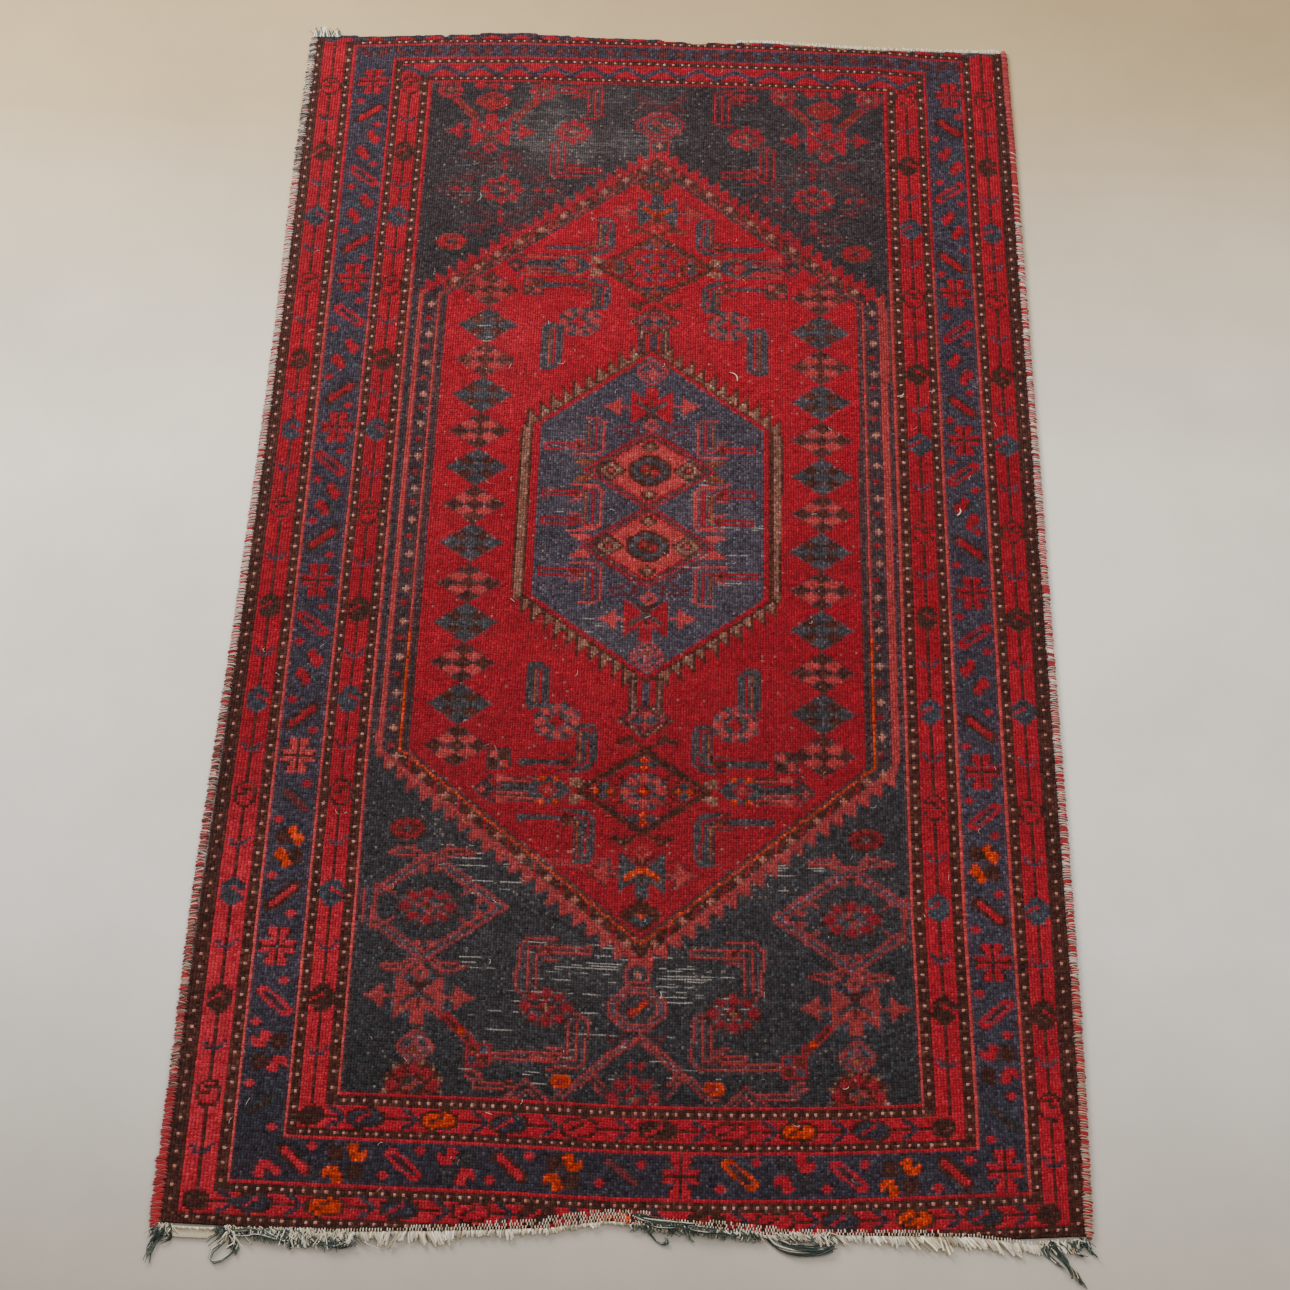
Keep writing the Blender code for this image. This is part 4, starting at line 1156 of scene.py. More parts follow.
def dress_shader(tree, shader, shading, height, strength, depth):
    """Give a shader the yarn's own dye, made lighter or darker by its shading, and a bump of some depth."""
    dye = add_node(tree, "ShaderNodeAttribute", attribute_name="dye").outputs["Color"]
    tinted = add_node(tree, "ShaderNodeVectorMath", {0: dye, "Scale": shading}, operation="SCALE")
    tree.links.new(tinted.outputs[0], shader.inputs["Base Color"])
    bump = add_node(tree, "ShaderNodeBump", {"Strength": strength, "Distance": depth, "Height": height})
    tree.links.new(bump.outputs[0], shader.inputs["Normal"])


def fibre_noise(tree, per_metre, detail, roughness=0.5):
    """Add a noise as fine as fibres, fixed to the object."""
    spot_at = add_node(tree, "ShaderNodeTexCoord").outputs["Object"]
    return add_node(tree, "ShaderNodeTexNoise",
                    {"Scale": per_metre, "Detail": detail, "Roughness": roughness, "Vector": spot_at})


# Hand-spun wool, cut as pile: matt, with a soft sheen where the tufts' sides catch the light. The gaps
# between columns of knots are shaded, and fibres about a millimetre wide, coarser than real ones, mottle it.
COLUMN_SHADE = 0.22
FIBRES_PER_METRE, LOCKS_PER_METRE = 700.0, 420.0
wool_pile, tree, shader = new_material("wool_pile", 0.95, sheen=0.08, specular=0.06)
split = add_node(tree, "ShaderNodeSeparateXYZ", {0: add_node(tree, "ShaderNodeUVMap", uv_map="knots")})
bulge = calculate(tree, "ABSOLUTE", calculate(tree, "SINE", calculate(tree, "MULTIPLY", split, math.pi)))
gap = map_range(tree, bulge, 0.0, 0.65, 1.0 - COLUMN_SHADE, 1.04)
fibres = fibre_noise(tree, FIBRES_PER_METRE, 3.0, 0.6)
locks = map_range(tree, fibre_noise(tree, LOCKS_PER_METRE, 2.0), 0.3, 0.7, 0.56, 1.48)
mottled = calculate(tree, "MULTIPLY", locks, map_range(tree, fibres, 0.28, 0.72, 0.42, 1.62))
dress_shader(tree, shader, calculate(tree, "MULTIPLY", gap, mottled),
             calculate(tree, "MULTIPLY_ADD", fibres, 0.6, bulge), 0.9, 0.0013)

# Each knot is two faces: the tuft's cut end, which faces the lower end, and its side, which lies back. Where
# the pile is worn through, pale wefts show between the rows in short broken lines.
face_wool = np.repeat(wool, 2, axis=0)
# painted shade and light: the tufts' cut ends are coloured darker and their sides lighter
face_wool[0::2] *= 0.84
face_wool[1::2] *= 1.05
weft_runs = soft_noise((ROWS, 26)) + 0.8 * soft_noise((ROWS, 90)) + 1.7 * bare - 1.0
weft_runs -= 1.2 * (rng.random((ROWS, 1)) < 0.5)
weft_shows = np.clip(3.0 * weft_runs, 0.0, 0.80) * (bare > 0.06) * np.where(V < 600, 0.16, 0.9)
weft_shows *= np.where(dark & ((V < 1400) | (depth < 0)), 1.0, 0.15)
face_wool[0::2] += weft_shows[..., None] * (to_linear("a09a92") - face_wool[0::2])
face_kept = np.repeat(kept, 2, axis=0)
strips = []
for number, (first, last) in enumerate(zip(STRIPS, STRIPS[1:])):
    part = (slice(None), slice(first, last + 1))
    strip = flat_grid(f"pile_strip_{number + 1}", line_x[part], line_y[part], line_z[part],
                      face_wool[:, first:last], face_kept[:, first:last], knot_lines[first:last + 1], row_lines)
    strip.data.materials.append(wool_pile)
    strips.append(strip)

# Pile cloth, its back. The foundation of warps and wefts, with the back of each knot showing as a small
# ribbed stitch in a duller shade of its dye. It is the cloth that the whole rug hangs on.
BACK_LEVEL = 0.0006
END_ROWS = 14
back_rows = np.concatenate((np.arange(END_ROWS), np.arange(END_ROWS, ROWS - END_ROWS, 3),
                            np.arange(ROWS - END_ROWS, ROWS + 1)))
back_warps = np.append(np.arange(0, COLUMNS, 3), COLUMNS)
back_column, back_row = np.meshgrid(back_warps.astype(float), back_rows.astype(float))
back_x, back_y = on_floor(*cartoon_places(back_column, back_row))
cells = np.ix_(back_rows[:-1], back_warps[:-1])
back = flat_grid("cloth_back", back_x, back_y, BACK_LEVEL + lift_at(back_x, back_y), wool[cells] * 0.8 + 0.02,
                 kept[cells], back_column[0], back_row[:, 0], up=False)
rug_back, tree, shader = new_material("wool_and_cotton_back", 0.9, sheen=0.1, specular=0.2)
place = add_node(tree, "ShaderNodeUVMap", uv_map="knots")
ribs = add_node(tree, "ShaderNodeTexWave", {"Scale": 2.0, "Distortion": 0.6, "Detail": 1.0, 0: place},
                wave_type="BANDS", bands_direction="X").outputs[1]
# painted shade: the dye is darker in the hollows between the ribs and lighter on their tops
dress_shader(tree, shader, map_range(tree, ribs, 0.0, 1.0, 0.7, 1.15), ribs, 0.5, 0.0004)
back.data.materials.append(rug_back)


def dress(piece, node=None):
    """Put a piece on the rug's body, in place of a solid."""
    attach(piece, "root")
    if node:
        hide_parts(node)


for piece in strips + [back]:
    dress(piece, "pile_cloth")


# Side cords. At each long side the outer warps are bound into a cord, whipped over with yarn of two colours.
# The colours change along the rug with the yarn that was at hand, and in places the whipping is worn fuzzy.
CORD_WIDTH, CORD_HEIGHT, STITCH_THICKNESS = 0.0100, 0.0066, 0.0022
LEFT_SIDE = ((-1.090, -0.6345), (-0.850, -0.6350), (-0.600, -0.6375), (-0.350, -0.6332), (-0.150, -0.6288),
             (0.250, -0.6252), (0.460, -0.6250), (0.760, -0.6276), (1.120, -0.6265))
RIGHT_SIDE = ((-1.075, 0.6329), (-0.840, 0.6370), (-0.640, 0.6375), (0.250, 0.6321), (0.650, 0.6295),
              (0.850, 0.6277), (1.105, 0.6235))
CORD_SPANS = {"left": (-1.089, 1.119), "right": (-1.074, 1.104)}
YARN_HEX = {"red": "a3131b", "rose": "b2565a", "white": "d8cdbf", "cream": "b9a58f", "brown": "59352c",
            "grey": "7b7f78", "dusty": "a97c70"}
# each zone: from this y upwards, the stitch pitch, its lean, how fuzzy and how wide it is, and its yarns in turn
CORD_ZONES = {"left": ((-1.090, 0.0019, 0.15, 0.7, 1.75, ("red", "red", "rose", "red")),
                       (-0.990, 0.0019, 0.15, 0.6, 1.50, ("red", "red", "rose", "red")),
                       (-0.890, 0.0019, 0.15, 0.8, 1.35, ("rose", "brown", "cream", "red", "dusty")),
                       (-0.640, 0.0019, 0.15, 0.7, 1.30, ("rose", "brown", "white", "red", "cream")),
                       (-0.180, 0.0019, 0.25, 0.4, 1.25, ("red", "white", "white")),
                       (0.640, 0.0019, 0.25, 0.6, 1.30, ("white", "white", "red")),
                       (0.790, 0.0019, 0.25, 1.0, 1.35, ("white", "grey", "brown", "white", "dusty"))),
              "right": ((-1.080, 0.0019, -0.15, 0.4, 1.35, ("red", "cream")),
                        (-0.700, 0.0019, -0.15, 0.4, 1.25, ("white", "red")),
                        (0.230, 0.0019, -0.20, 0.4, 1.20, ("red", "white")),
                        (0.700, 0.0021, -0.30, 0.2, 1.20, ("red", "red", "red", "white", "red")),
                        (0.860, 0.0021, -0.10, 0.2, 1.20, ("red", "red", "red", "rose")))}


def start_tree(name, inputs):
    """Start a Geometry Nodes tree with named inputs and return it with the values it is given."""
    tree = bpy.data.node_groups.new(name, "GeometryNodeTree")
    for socket, (kind, value) in {"Geometry": ("Geometry", None), **inputs, "Yarn": ("Material", None)}.items():
        made = tree.interface.new_socket(socket, in_out="INPUT", socket_type="NodeSocket" + kind)
        if value is not None:
            made.default_value = value
    tree.interface.new_socket("Geometry", in_out="OUTPUT", socket_type="NodeSocketGeometry")
    return tree, add_node(tree, "NodeGroupInput").outputs


def end_tree(tree, shape, yarn):
    """End a tree with smooth shading, real instances and the yarn's material."""
    smooth = add_node(tree, "GeometryNodeSetShadeSmooth", {0: shape})
    real = add_node(tree, "GeometryNodeRealizeInstances", {0: smooth})
    add_node(tree, "NodeGroupOutput", {0: add_node(tree, "GeometryNodeSetMaterial", {0: real, "Material": yarn})})
    return tree


def whipping_tree():
    """Build the tree that winds one stitch of yarn over the cord at every point, round a core."""
    tree, given = start_tree("whipping", {"Cord width": ("Float", CORD_WIDTH), "Cord height": ("Float", CORD_HEIGHT),
                                          "Yarn thickness": ("Float", STITCH_THICKNESS)})
    half_width, half_height, radius = (calculate(tree, "MULTIPLY", given[name], 0.5)
                                       for name in ("Cord width", "Cord height", "Yarn thickness"))
    size = add_node(tree, "ShaderNodeCombineXYZ", {0: calculate(tree, "SUBTRACT", half_width, radius),
                                                   1: calculate(tree, "SUBTRACT", half_height, radius), 2: 1.0})
    arc = add_node(tree, "GeometryNodeCurveArc", {"Resolution": 7, "Radius": 1.0, "Start Angle": -0.65,
                                                  "Sweep Angle": math.pi + 1.3}, mode="RADIUS")
    flat = add_node(tree, "GeometryNodeTransform", {"Geometry": arc, "Scale": size})
    middle = add_node(tree, "ShaderNodeCombineXYZ", {2: half_height})
    upright = add_node(tree, "GeometryNodeTransform",
                       {"Geometry": flat, "Translation": middle, "Rotation": (math.pi / 2, 0.0, 0.0)})
    ring = add_node(tree, "GeometryNodeCurvePrimitiveCircle", {"Resolution": 4, "Radius": radius})
    stitch = add_node(tree, "GeometryNodeCurveToMesh", {"Curve": upright, "Profile Curve": ring, "Fill Caps": True})
    lean, girth = (add_node(tree, "GeometryNodeInputNamedAttribute", {"Name": name}, data_type="FLOAT_VECTOR")
                   for name in ("lean", "girth"))
    wound = add_node(tree, "GeometryNodeInstanceOnPoints",
                     {"Points": given["Geometry"], "Instance": stitch, "Rotation": lean, "Scale": girth})
    line = add_node(tree, "GeometryNodeMeshToCurve", {0: given["Geometry"]})
    core_ring = add_node(tree, "GeometryNodeCurvePrimitiveCircle",
                         {"Resolution": 8, "Radius": calculate(tree, "MULTIPLY", half_width, 0.78)})
    core = add_node(tree, "GeometryNodeCurveToMesh", {"Curve": line, "Profile Curve": core_ring, "Fill Caps": True})
    flatter = add_node(tree, "GeometryNodeTransform",
                       {"Geometry": core, "Translation": middle, "Scale": (1.0, 1.0, 0.62)})
    both = add_node(tree, "GeometryNodeJoinGeometry", {0: wound})
    tree.links.new(flatter.outputs[0], both.inputs[0])
    return end_tree(tree, both, given["Yarn"])


def grown(name, points, edges, attributes, tree, settings):
    """Put a line drawing through a Geometry Nodes tree and return the plain mesh that it makes."""
    drawing = bpy.data.meshes.new(name + "_lines")
    drawing.from_pydata([tuple(p) for p in points], edges, [])
    for attribute, (kind, values) in attributes.items():
        field = "color" if kind == "FLOAT_COLOR" else "vector" if kind == "FLOAT_VECTOR" else "value"
        layer = drawing.attributes.new(attribute, kind, "POINT")
        layer.data.foreach_set(field, np.asarray(values, float).ravel())
    piece = bpy.data.objects.new(name, drawing)
    bpy.context.scene.collection.objects.link(piece)
    modifier = piece.modifiers.new(tree.name, "NODES")
    modifier.node_group = tree
    for item in tree.interface.items_tree:
        if item.in_out == "INPUT" and item.name in settings:
            modifier[item.identifier] = settings[item.name]
    depsgraph = bpy.context.evaluated_depsgraph_get()
    mesh = bpy.data.meshes.new_from_object(piece.evaluated_get(depsgraph), depsgraph=depsgraph)
    mesh.name = name
    piece.modifiers.remove(modifier)
    piece.data = mesh
    return piece


def yarn_material(name, roughness, sheen, specular, hairs, shades, strength, depth, plies=0.0):
    """Make a yarn's material: hairs, so many a metre, shade its dye and roughen it, and its plies slant across it."""
    material, tree, shader = new_material(name, roughness, sheen, specular)
    height = fuzz = fibre_noise(tree, *hairs)
    if plies:
        spot_at = add_node(tree, "ShaderNodeTexCoord").outputs["Object"]
        slant = add_node(tree, "ShaderNodeTexWave", {"Scale": plies, "Distortion": 2.0, 0: spot_at},
                         wave_type="BANDS", bands_direction="DIAGONAL").outputs[1]
        height = calculate(tree, "ADD", slant, fuzz)
    dress_shader(tree, shader, map_range(tree, fuzz, 0.3, 0.7, *shades), height, strength, depth)
    return material


# Wool yarn, two-ply: matt and slightly hairy, with the plies' twist as a fine slant across each stitch.
whipped_wool = yarn_material("two_ply_wool", 0.9, 0.3, 0.15, (1500.0, 2.0), (0.72, 1.2), 0.5, 0.0004, plies=420.0)
whipping = whipping_tree()
yarn_colour = {name: to_linear(value) for name, value in YARN_HEX.items()}
for side, table, sign in (("left", LEFT_SIDE, -1), ("right", RIGHT_SIDE, 1)):
    start, finish = CORD_SPANS[side]
    y, points, dyes, leans, girths = start, [], [], [], []
    while y < finish:
        zone = [z for z in CORD_ZONES[side] if z[0] <= y][-1]
        _, pitch, lean, fuzz, wide, yarns = zone
        name = yarns[len(points) % len(yarns)]
        if rng.random() < 0.06 + 0.55 * fuzz:
            name = yarns[int(rng.integers(len(yarns)))]
        near_end = ramp(0.0, 0.012, min(y - start, finish - y))
        girth = (0.66 + 0.34 * near_end) * rng.uniform(0.93, 1.06 + 0.18 * fuzz)
        girth *= wide * (1.12 if name == "white" else 1.0)
        x = np.interp(y, *zip(*table)) - sign * 0.5 * CORD_WIDTH + rng.normal(0.0, 0.0003 + 0.0006 * fuzz)
        points.append((x, y, 0.0))
        dyes.append((*(yarn_colour[name] * math.exp(rng.normal(0.0, 0.20))), 1.0))
        leans.append((0.0, 0.0, lean + rng.normal(0.0, 0.08 + 0.25 * fuzz)))
        along = 1.4 if name in ("red", "brown") else 0.95
        girths.append((girth, along * rng.uniform(0.8, 1.15), min(girth, 1.05)))
        y += pitch * rng.uniform(0.88, 1.12)
    cord = grown(f"side_cord_{side}_whipping", points, [(i, i + 1) for i in range(len(points) - 1)],
                 {"dye": ("FLOAT_COLOR", dyes), "lean": ("FLOAT_VECTOR", leans), "girth": ("FLOAT_VECTOR", girths)},
                 whipping, {"Yarn": whipped_wool})
    dress(cord, f"side_cord_{side}")

# Lower fringe. The warps are cut to uneven lengths and have come together in tufts. At the left a strip of plain
# weave is left; elsewhere the last rows of knots have gone, and short stubs of warp stand in rows on the edge.
WARP_THICKNESS, WARP_PITCH, FRINGE_REACH = 0.0034, 0.0030, 0.614
STUB_SPACING, STUB_ROW_HEIGHT, STUB_THICKNESS = 0.0040, 0.0042, 0.0016
WARP_HEX = ("f6ead4", "e8dabe", "fbf3e2", "c2b18f")
# x, length beyond the edge, slant to the right, and tuft size in warps
TUFTS = ((-0.612, 0.002, 0.0, 1), (-0.545, 0.004, 0.0, 2), (-0.500, 0.008, -0.2, 3), (-0.460, 0.012, -0.3, 4),
         (-0.440, 0.018, 0.2, 4), (-0.380, 0.019, 0.1, 4), (-0.360, 0.015, -0.1, 3), (-0.250, 0.018, 0.0, 3),
         (-0.200, 0.011, 0.1, 3), (-0.130, 0.010, 0.1, 3), (-0.090, 0.006, 0.0, 2), (0.020, 0.004, 0.2, 2),
         (0.045, 0.008, 0.1, 4), (0.110, 0.007, 0.0, 3), (0.200, 0.008, 0.1, 3), (0.230, 0.011, 0.5, 4),
         (0.290, 0.015, 0.6, 4), (0.310, 0.009, 0.3, 2), (0.340, 0.014, 0.5, 3), (0.400, 0.018, 0.8, 3),
         (0.520, 0.020, 0.8, 4), (0.550, 0.014, 0.4, 3), (0.612, 0.011, 0.2, 3))
# where stubs stand in rows on the pile: from x to x, and how many rows
STUB_ROWS = ((-0.470, -0.300, 1), (-0.300, -0.180, 2), (-0.180, -0.100, 3), (-0.100, 0.040, 4), (0.040, 0.120, 2),
             (0.120, 0.210, 3), (0.210, 0.300, 2), (0.300, 0.430, 2), (0.430, 0.590, 1))


def yarn_tree():
    """Build the tree that spins a line drawing into yarn, each line as thick as its points say."""
    tree, given = start_tree("spun_yarn", {"Sides": ("Int", 5), "Waviness": ("Float", 0.0008), "Seed": ("Float", 3.0)})
    noise = add_node(tree, "ShaderNodeTexNoise", {"Scale": 130.0, "Detail": 1.0, "W": given["Seed"]},
                     noise_dimensions="4D")
    centred = add_node(tree, "ShaderNodeVectorMath", {0: noise.outputs["Color"], 1: (0.5, 0.5, 0.5)},
                       operation="SUBTRACT")
    shift = add_node(tree, "ShaderNodeVectorMath", {0: centred, "Scale": given["Waviness"]}, operation="SCALE")
    line = add_node(tree, "GeometryNodeMeshToCurve", {0: given["Geometry"]})
    bent = add_node(tree, "GeometryNodeSetPosition", {"Geometry": line, "Offset": shift})
    thick = add_node(tree, "GeometryNodeInputNamedAttribute", {"Name": "thick"}, data_type="FLOAT")
    ring = add_node(tree, "GeometryNodeCurvePrimitiveCircle", {"Radius": 0.5, "Resolution": given["Sides"]})
    spun = add_node(tree, "GeometryNodeCurveToMesh",
                    {"Curve": bent, "Profile Curve": ring, "Scale": thick, "Fill Caps": True})
    return end_tree(tree, spun, given["Yarn"])


def spun(name, lines, material, sides=4, waviness=0.0006, seed=1.0):
    """Make one piece of yarn from lines, each (points, thickness, colour)."""
    points, edges, dyes, thick = [], [], [], []
    for line, thickness, colour in lines:
        first = len(points)
        points.extend(line)
        edges.extend((first + i, first + i + 1) for i in range(len(line) - 1))
        dyes.extend([(*colour, 1.0)] * len(line))
        thick.extend(np.broadcast_to(thickness, len(line)))
    return grown(name, points, edges, {"dye": ("FLOAT_COLOR", dyes), "thick": ("FLOAT", thick)}, spun_yarn,
                 {"Sides": sides, "Waviness": waviness, "Seed": seed, "Yarn": material})


spun_yarn = yarn_tree()
# Handspun cotton: soft white gone cream with dust, with a fine fibre and a little sheen.
warp_cotton = yarn_material("handspun_cotton", 0.85, 0.2, 0.2, (700.0, 3.0), (0.74, 1.1), 0.4, 0.0003)
warp_colours = [to_linear(value) for value in WARP_HEX]


def pick(colours, spread=0.08):
    """Return one of the colours, a little lighter or darker."""
    return colours[int(rng.integers(len(colours)))] * math.exp(rng.normal(0.0, spread))


def cloth_top(x, y):
    """Return the height of the pile's top at a place near an end."""
    return CLOTH_THICKNESS + float(lift_at(np.array(x), np.array(y)))


def end_at(end, x):
    """Return how far along the rug an end of the pile lies, at a place across it."""
    return float(wander(end, x))


def warp_end(x, edge, length, slant, outward, clump, start=0.002):
    """Return one warp's line, from the edge of the cloth down to the floor, drawn to the middle of its tuft."""
    z_root = cloth_top(x, edge) - CLOTH_THICKNESS + rng.uniform(0.0030, 0.0050)
    z_tip = rng.uniform(0.0020, 0.0050)
    return [(x + (clump - x) * 0.25 * t + slant * length * t + rng.normal(0.0, 0.0005) * t,
             edge - outward * start + outward * (length + start) * t,
             z_root + (z_tip - z_root) * t + 0.0012 * math.sin(math.pi * t)) for t in np.linspace(0.0, 1.0, 6)]


lines = []
tuft_x, *tuft_values = zip(*TUFTS)
x, clump = -FRINGE_REACH, -0.700
while x < FRINGE_REACH:
    length, slant, size = (float(np.interp(x, tuft_x, values)) for values in tuft_values)
    if x > clump + 0.5 * size * WARP_PITCH:
        clump = x + 0.5 * size * WARP_PITCH * rng.uniform(0.8, 1.6)
        tuft_length = rng.uniform(0.55, 1.30)
        tuft_slant = rng.normal(0.0, 0.32)
    edge = end_at(LOWER_END, x)
    own = length * tuft_length * rng.uniform(0.8, 1.1)
    for _ in range(2):
        line = warp_end(x + rng.normal(0.0, 0.0008), edge, own * rng.uniform(0.6, 1.15),
                        slant + tuft_slant + rng.normal(0.0, 0.15), -1, clump, -0.001)
        lines.append((line, np.linspace(0.85, 0.8, 6) * WARP_THICKNESS, pick(warp_colours, 0.25)))
    x += rng.uniform(0.0026, 0.0036)
for first, last, rows in STUB_ROWS:
    for x in np.arange(first, last, STUB_SPACING):
        for row in range(rows):
            place = x + (0.002 if row % 2 else 0.0) + rng.normal(0.0, 0.0003)
            edge = end_at(LOWER_END, place) + 0.0005 + STUB_ROW_HEIGHT * row
            if rng.random() < (0.95 if row == 0 else 0.8):
                z = cloth_top(place, edge) - 0.0001
                long = rng.uniform(0.0022, 0.0038)
                stub = (place, edge + long, z - 0.0004), (place, edge, z + 0.0008), (place, edge - 0.0006, z - 0.001)
                lines.append((stub, STUB_THICKNESS, pick(warp_colours)))
fringe = spun("lower_fringe_warps", lines, warp_cotton, 4, 0.0012, 2.0)

# The strip of plain weave at the left of the lower end: cotton wefts packed over the warps.
strip_colours = [to_linear(value) for value in ("e2d4b4", "d6c7a6", "eadfc4")]
lines = []
for index, down in enumerate(np.arange(0.0006, 0.0150, 0.0012)):
    xs = np.arange(-0.612 + 0.0008 * index, -0.541 - 0.0022 * abs(index - 5), 0.0022)
    line = [(x, end_at(LOWER_END, x) + 0.0005 - down + 0.05 * max(0.0, -0.590 - x),
             0.0030 + 0.0006 * ((i + index) % 2)) for i, x in enumerate(xs)]
    lines.append((line, 0.0017, pick(strip_colours, 0.06)))
strip = spun("lower_plain_weave", lines, warp_cotton, 4, 0.0003, 5.0)
dress(fringe, "lower_fringe")
dress(strip, "lower_fringe")

# Upper fringe: very short warp ends along the right-hand part of the upper end, beaten flat with the edge.
lines = []
for x in np.arange(0.140, 0.612, 0.0017):
    edge = end_at(UPPER_END, x)
    length = 0.0035 + 0.0030 * rng.random() + 0.003 * ramp(0.56, 0.61, x)
    lines.append((warp_end(x, edge, length, rng.normal(0.0, 0.4), 1, x, 0.001),
                  np.linspace(0.7, 0.5, 6) * WARP_THICKNESS, pick(warp_colours)))
for x in np.arange(-0.60, 0.14, 0.0042):
    edge = end_at(UPPER_END, x)
    if rng.random() < 0.35:
        lines.append((warp_end(x, edge, 0.002 * rng.random(), rng.normal(0.0, 0.5), 1, x, 0.001),
                      0.0007, pick(warp_colours)))
dress(spun("upper_fringe_warps", lines, warp_cotton, 4, 0.0010, 7.0), "upper_fringe")

# Green securing yarn. Soft wool, once whipped through both ends to hold the knots; it has come loose in
# places, where it lies on the floor as tails, loops and hanks among the cream warps.
GREEN_HEX = ("35443e", "2b3935", "47574f", "222a29", "5b6b62")
green_colours = [to_linear(value) for value in GREEN_HEX]


def path_points(path, count):
    """Return points spaced along a smooth line through a few places, given as (x, y, z)."""
    path = np.array(path, float)
    along = np.append(0.0, np.cumsum(np.linalg.norm(np.diff(path, axis=0), axis=1)))
    at = np.linspace(0.0, along[-1], count)
    ends = np.vstack((2 * path[0] - path[1], path, 2 * path[-1] - path[-2]))
    index = np.clip(np.searchsorted(along, at, side="right") - 1, 0, len(path) - 2)
    t = ((at - along[index]) / (along[index + 1] - along[index]))[:, None]
    p0, p1, p2, p3 = (ends[index + k] for k in range(4))
    square, cube = 2 * p0 - 5 * p1 + 4 * p2 - p3, 3 * p1 - p0 - 3 * p2 + p3
    return 0.5 * (2 * p1 + (p2 - p0) * t + square * t ** 2 + cube * t ** 3)


def bundle(path, strands, spread, colours, thickness=0.0015, open_end=1.0):
    """Return a loose bundle of strands that run along a path with half a turn, more open at its end."""
    count = 12
    centre = path_points(path, count)
    t = np.linspace(0.0, 1.0, count)
    found = []
    for _ in range(strands):
        angle = rng.uniform(0.0, 2 * math.pi) + math.pi * t
        away = spread * math.sqrt(rng.random()) * (1.0 + (open_end - 1.0) * t) + rng.normal(0.0, 0.0004, count)
        first, stop = int(count * rng.uniform(0.0, 0.2)), int(count * rng.uniform(0.75, 1.05))
        across, back_and_forth, up = np.cos(angle), 0.9 * np.sin(angle * 0.7), 0.55 * np.sin(angle)
        points = centre + away[:, None] * np.stack((across, back_and_forth, up), -1)
        points[:, 2] = np.maximum(points[:, 2], 0.55 * thickness + 0.0009)
        taper = np.linspace(1.0, 0.7, count)
        found.append((points[first:stop], (taper * thickness)[first:stop], pick(colours, 0.22)))
    return found


def shag(first, last, count, reach, colours, thickness=0.0016, rise=0.0, lean=0.0):
    """Return short curling ends that stand out of the lower edge between two places."""
    found = []
    for _ in range(count):
        x = rng.uniform(first, last)
        edge = end_at(LOWER_END, x)
        long = reach * rng.uniform(0.35, 1.0)
        tip_x = x + long * (lean + rng.normal(0.0, 0.55))
        root = (x, edge + rng.uniform(-0.003, 0.002) + rise, 0.0055 + rng.uniform(-0.002, 0.002) + 0.2 * rise)
        middle = (0.5 * (x + tip_x) + rng.normal(0.0, 0.002), root[1] - 0.5 * long,
                  0.0055 + rng.uniform(-0.001, 0.003))
        tip = (tip_x, root[1] - long * rng.uniform(0.6, 1.0), rng.uniform(0.0022, 0.0060))
        found.append((path_points([root, middle, tip], 6), np.linspace(1.0, 0.6, 6) * thickness, pick(colours, 0.2)))
    return found


def edge_at(x, down, z=2.5):
    """Return a place a distance below the lower end of the pile, given in mm."""
    return x / 1000, end_at(LOWER_END, x / 1000) - down / 1000, z / 1000


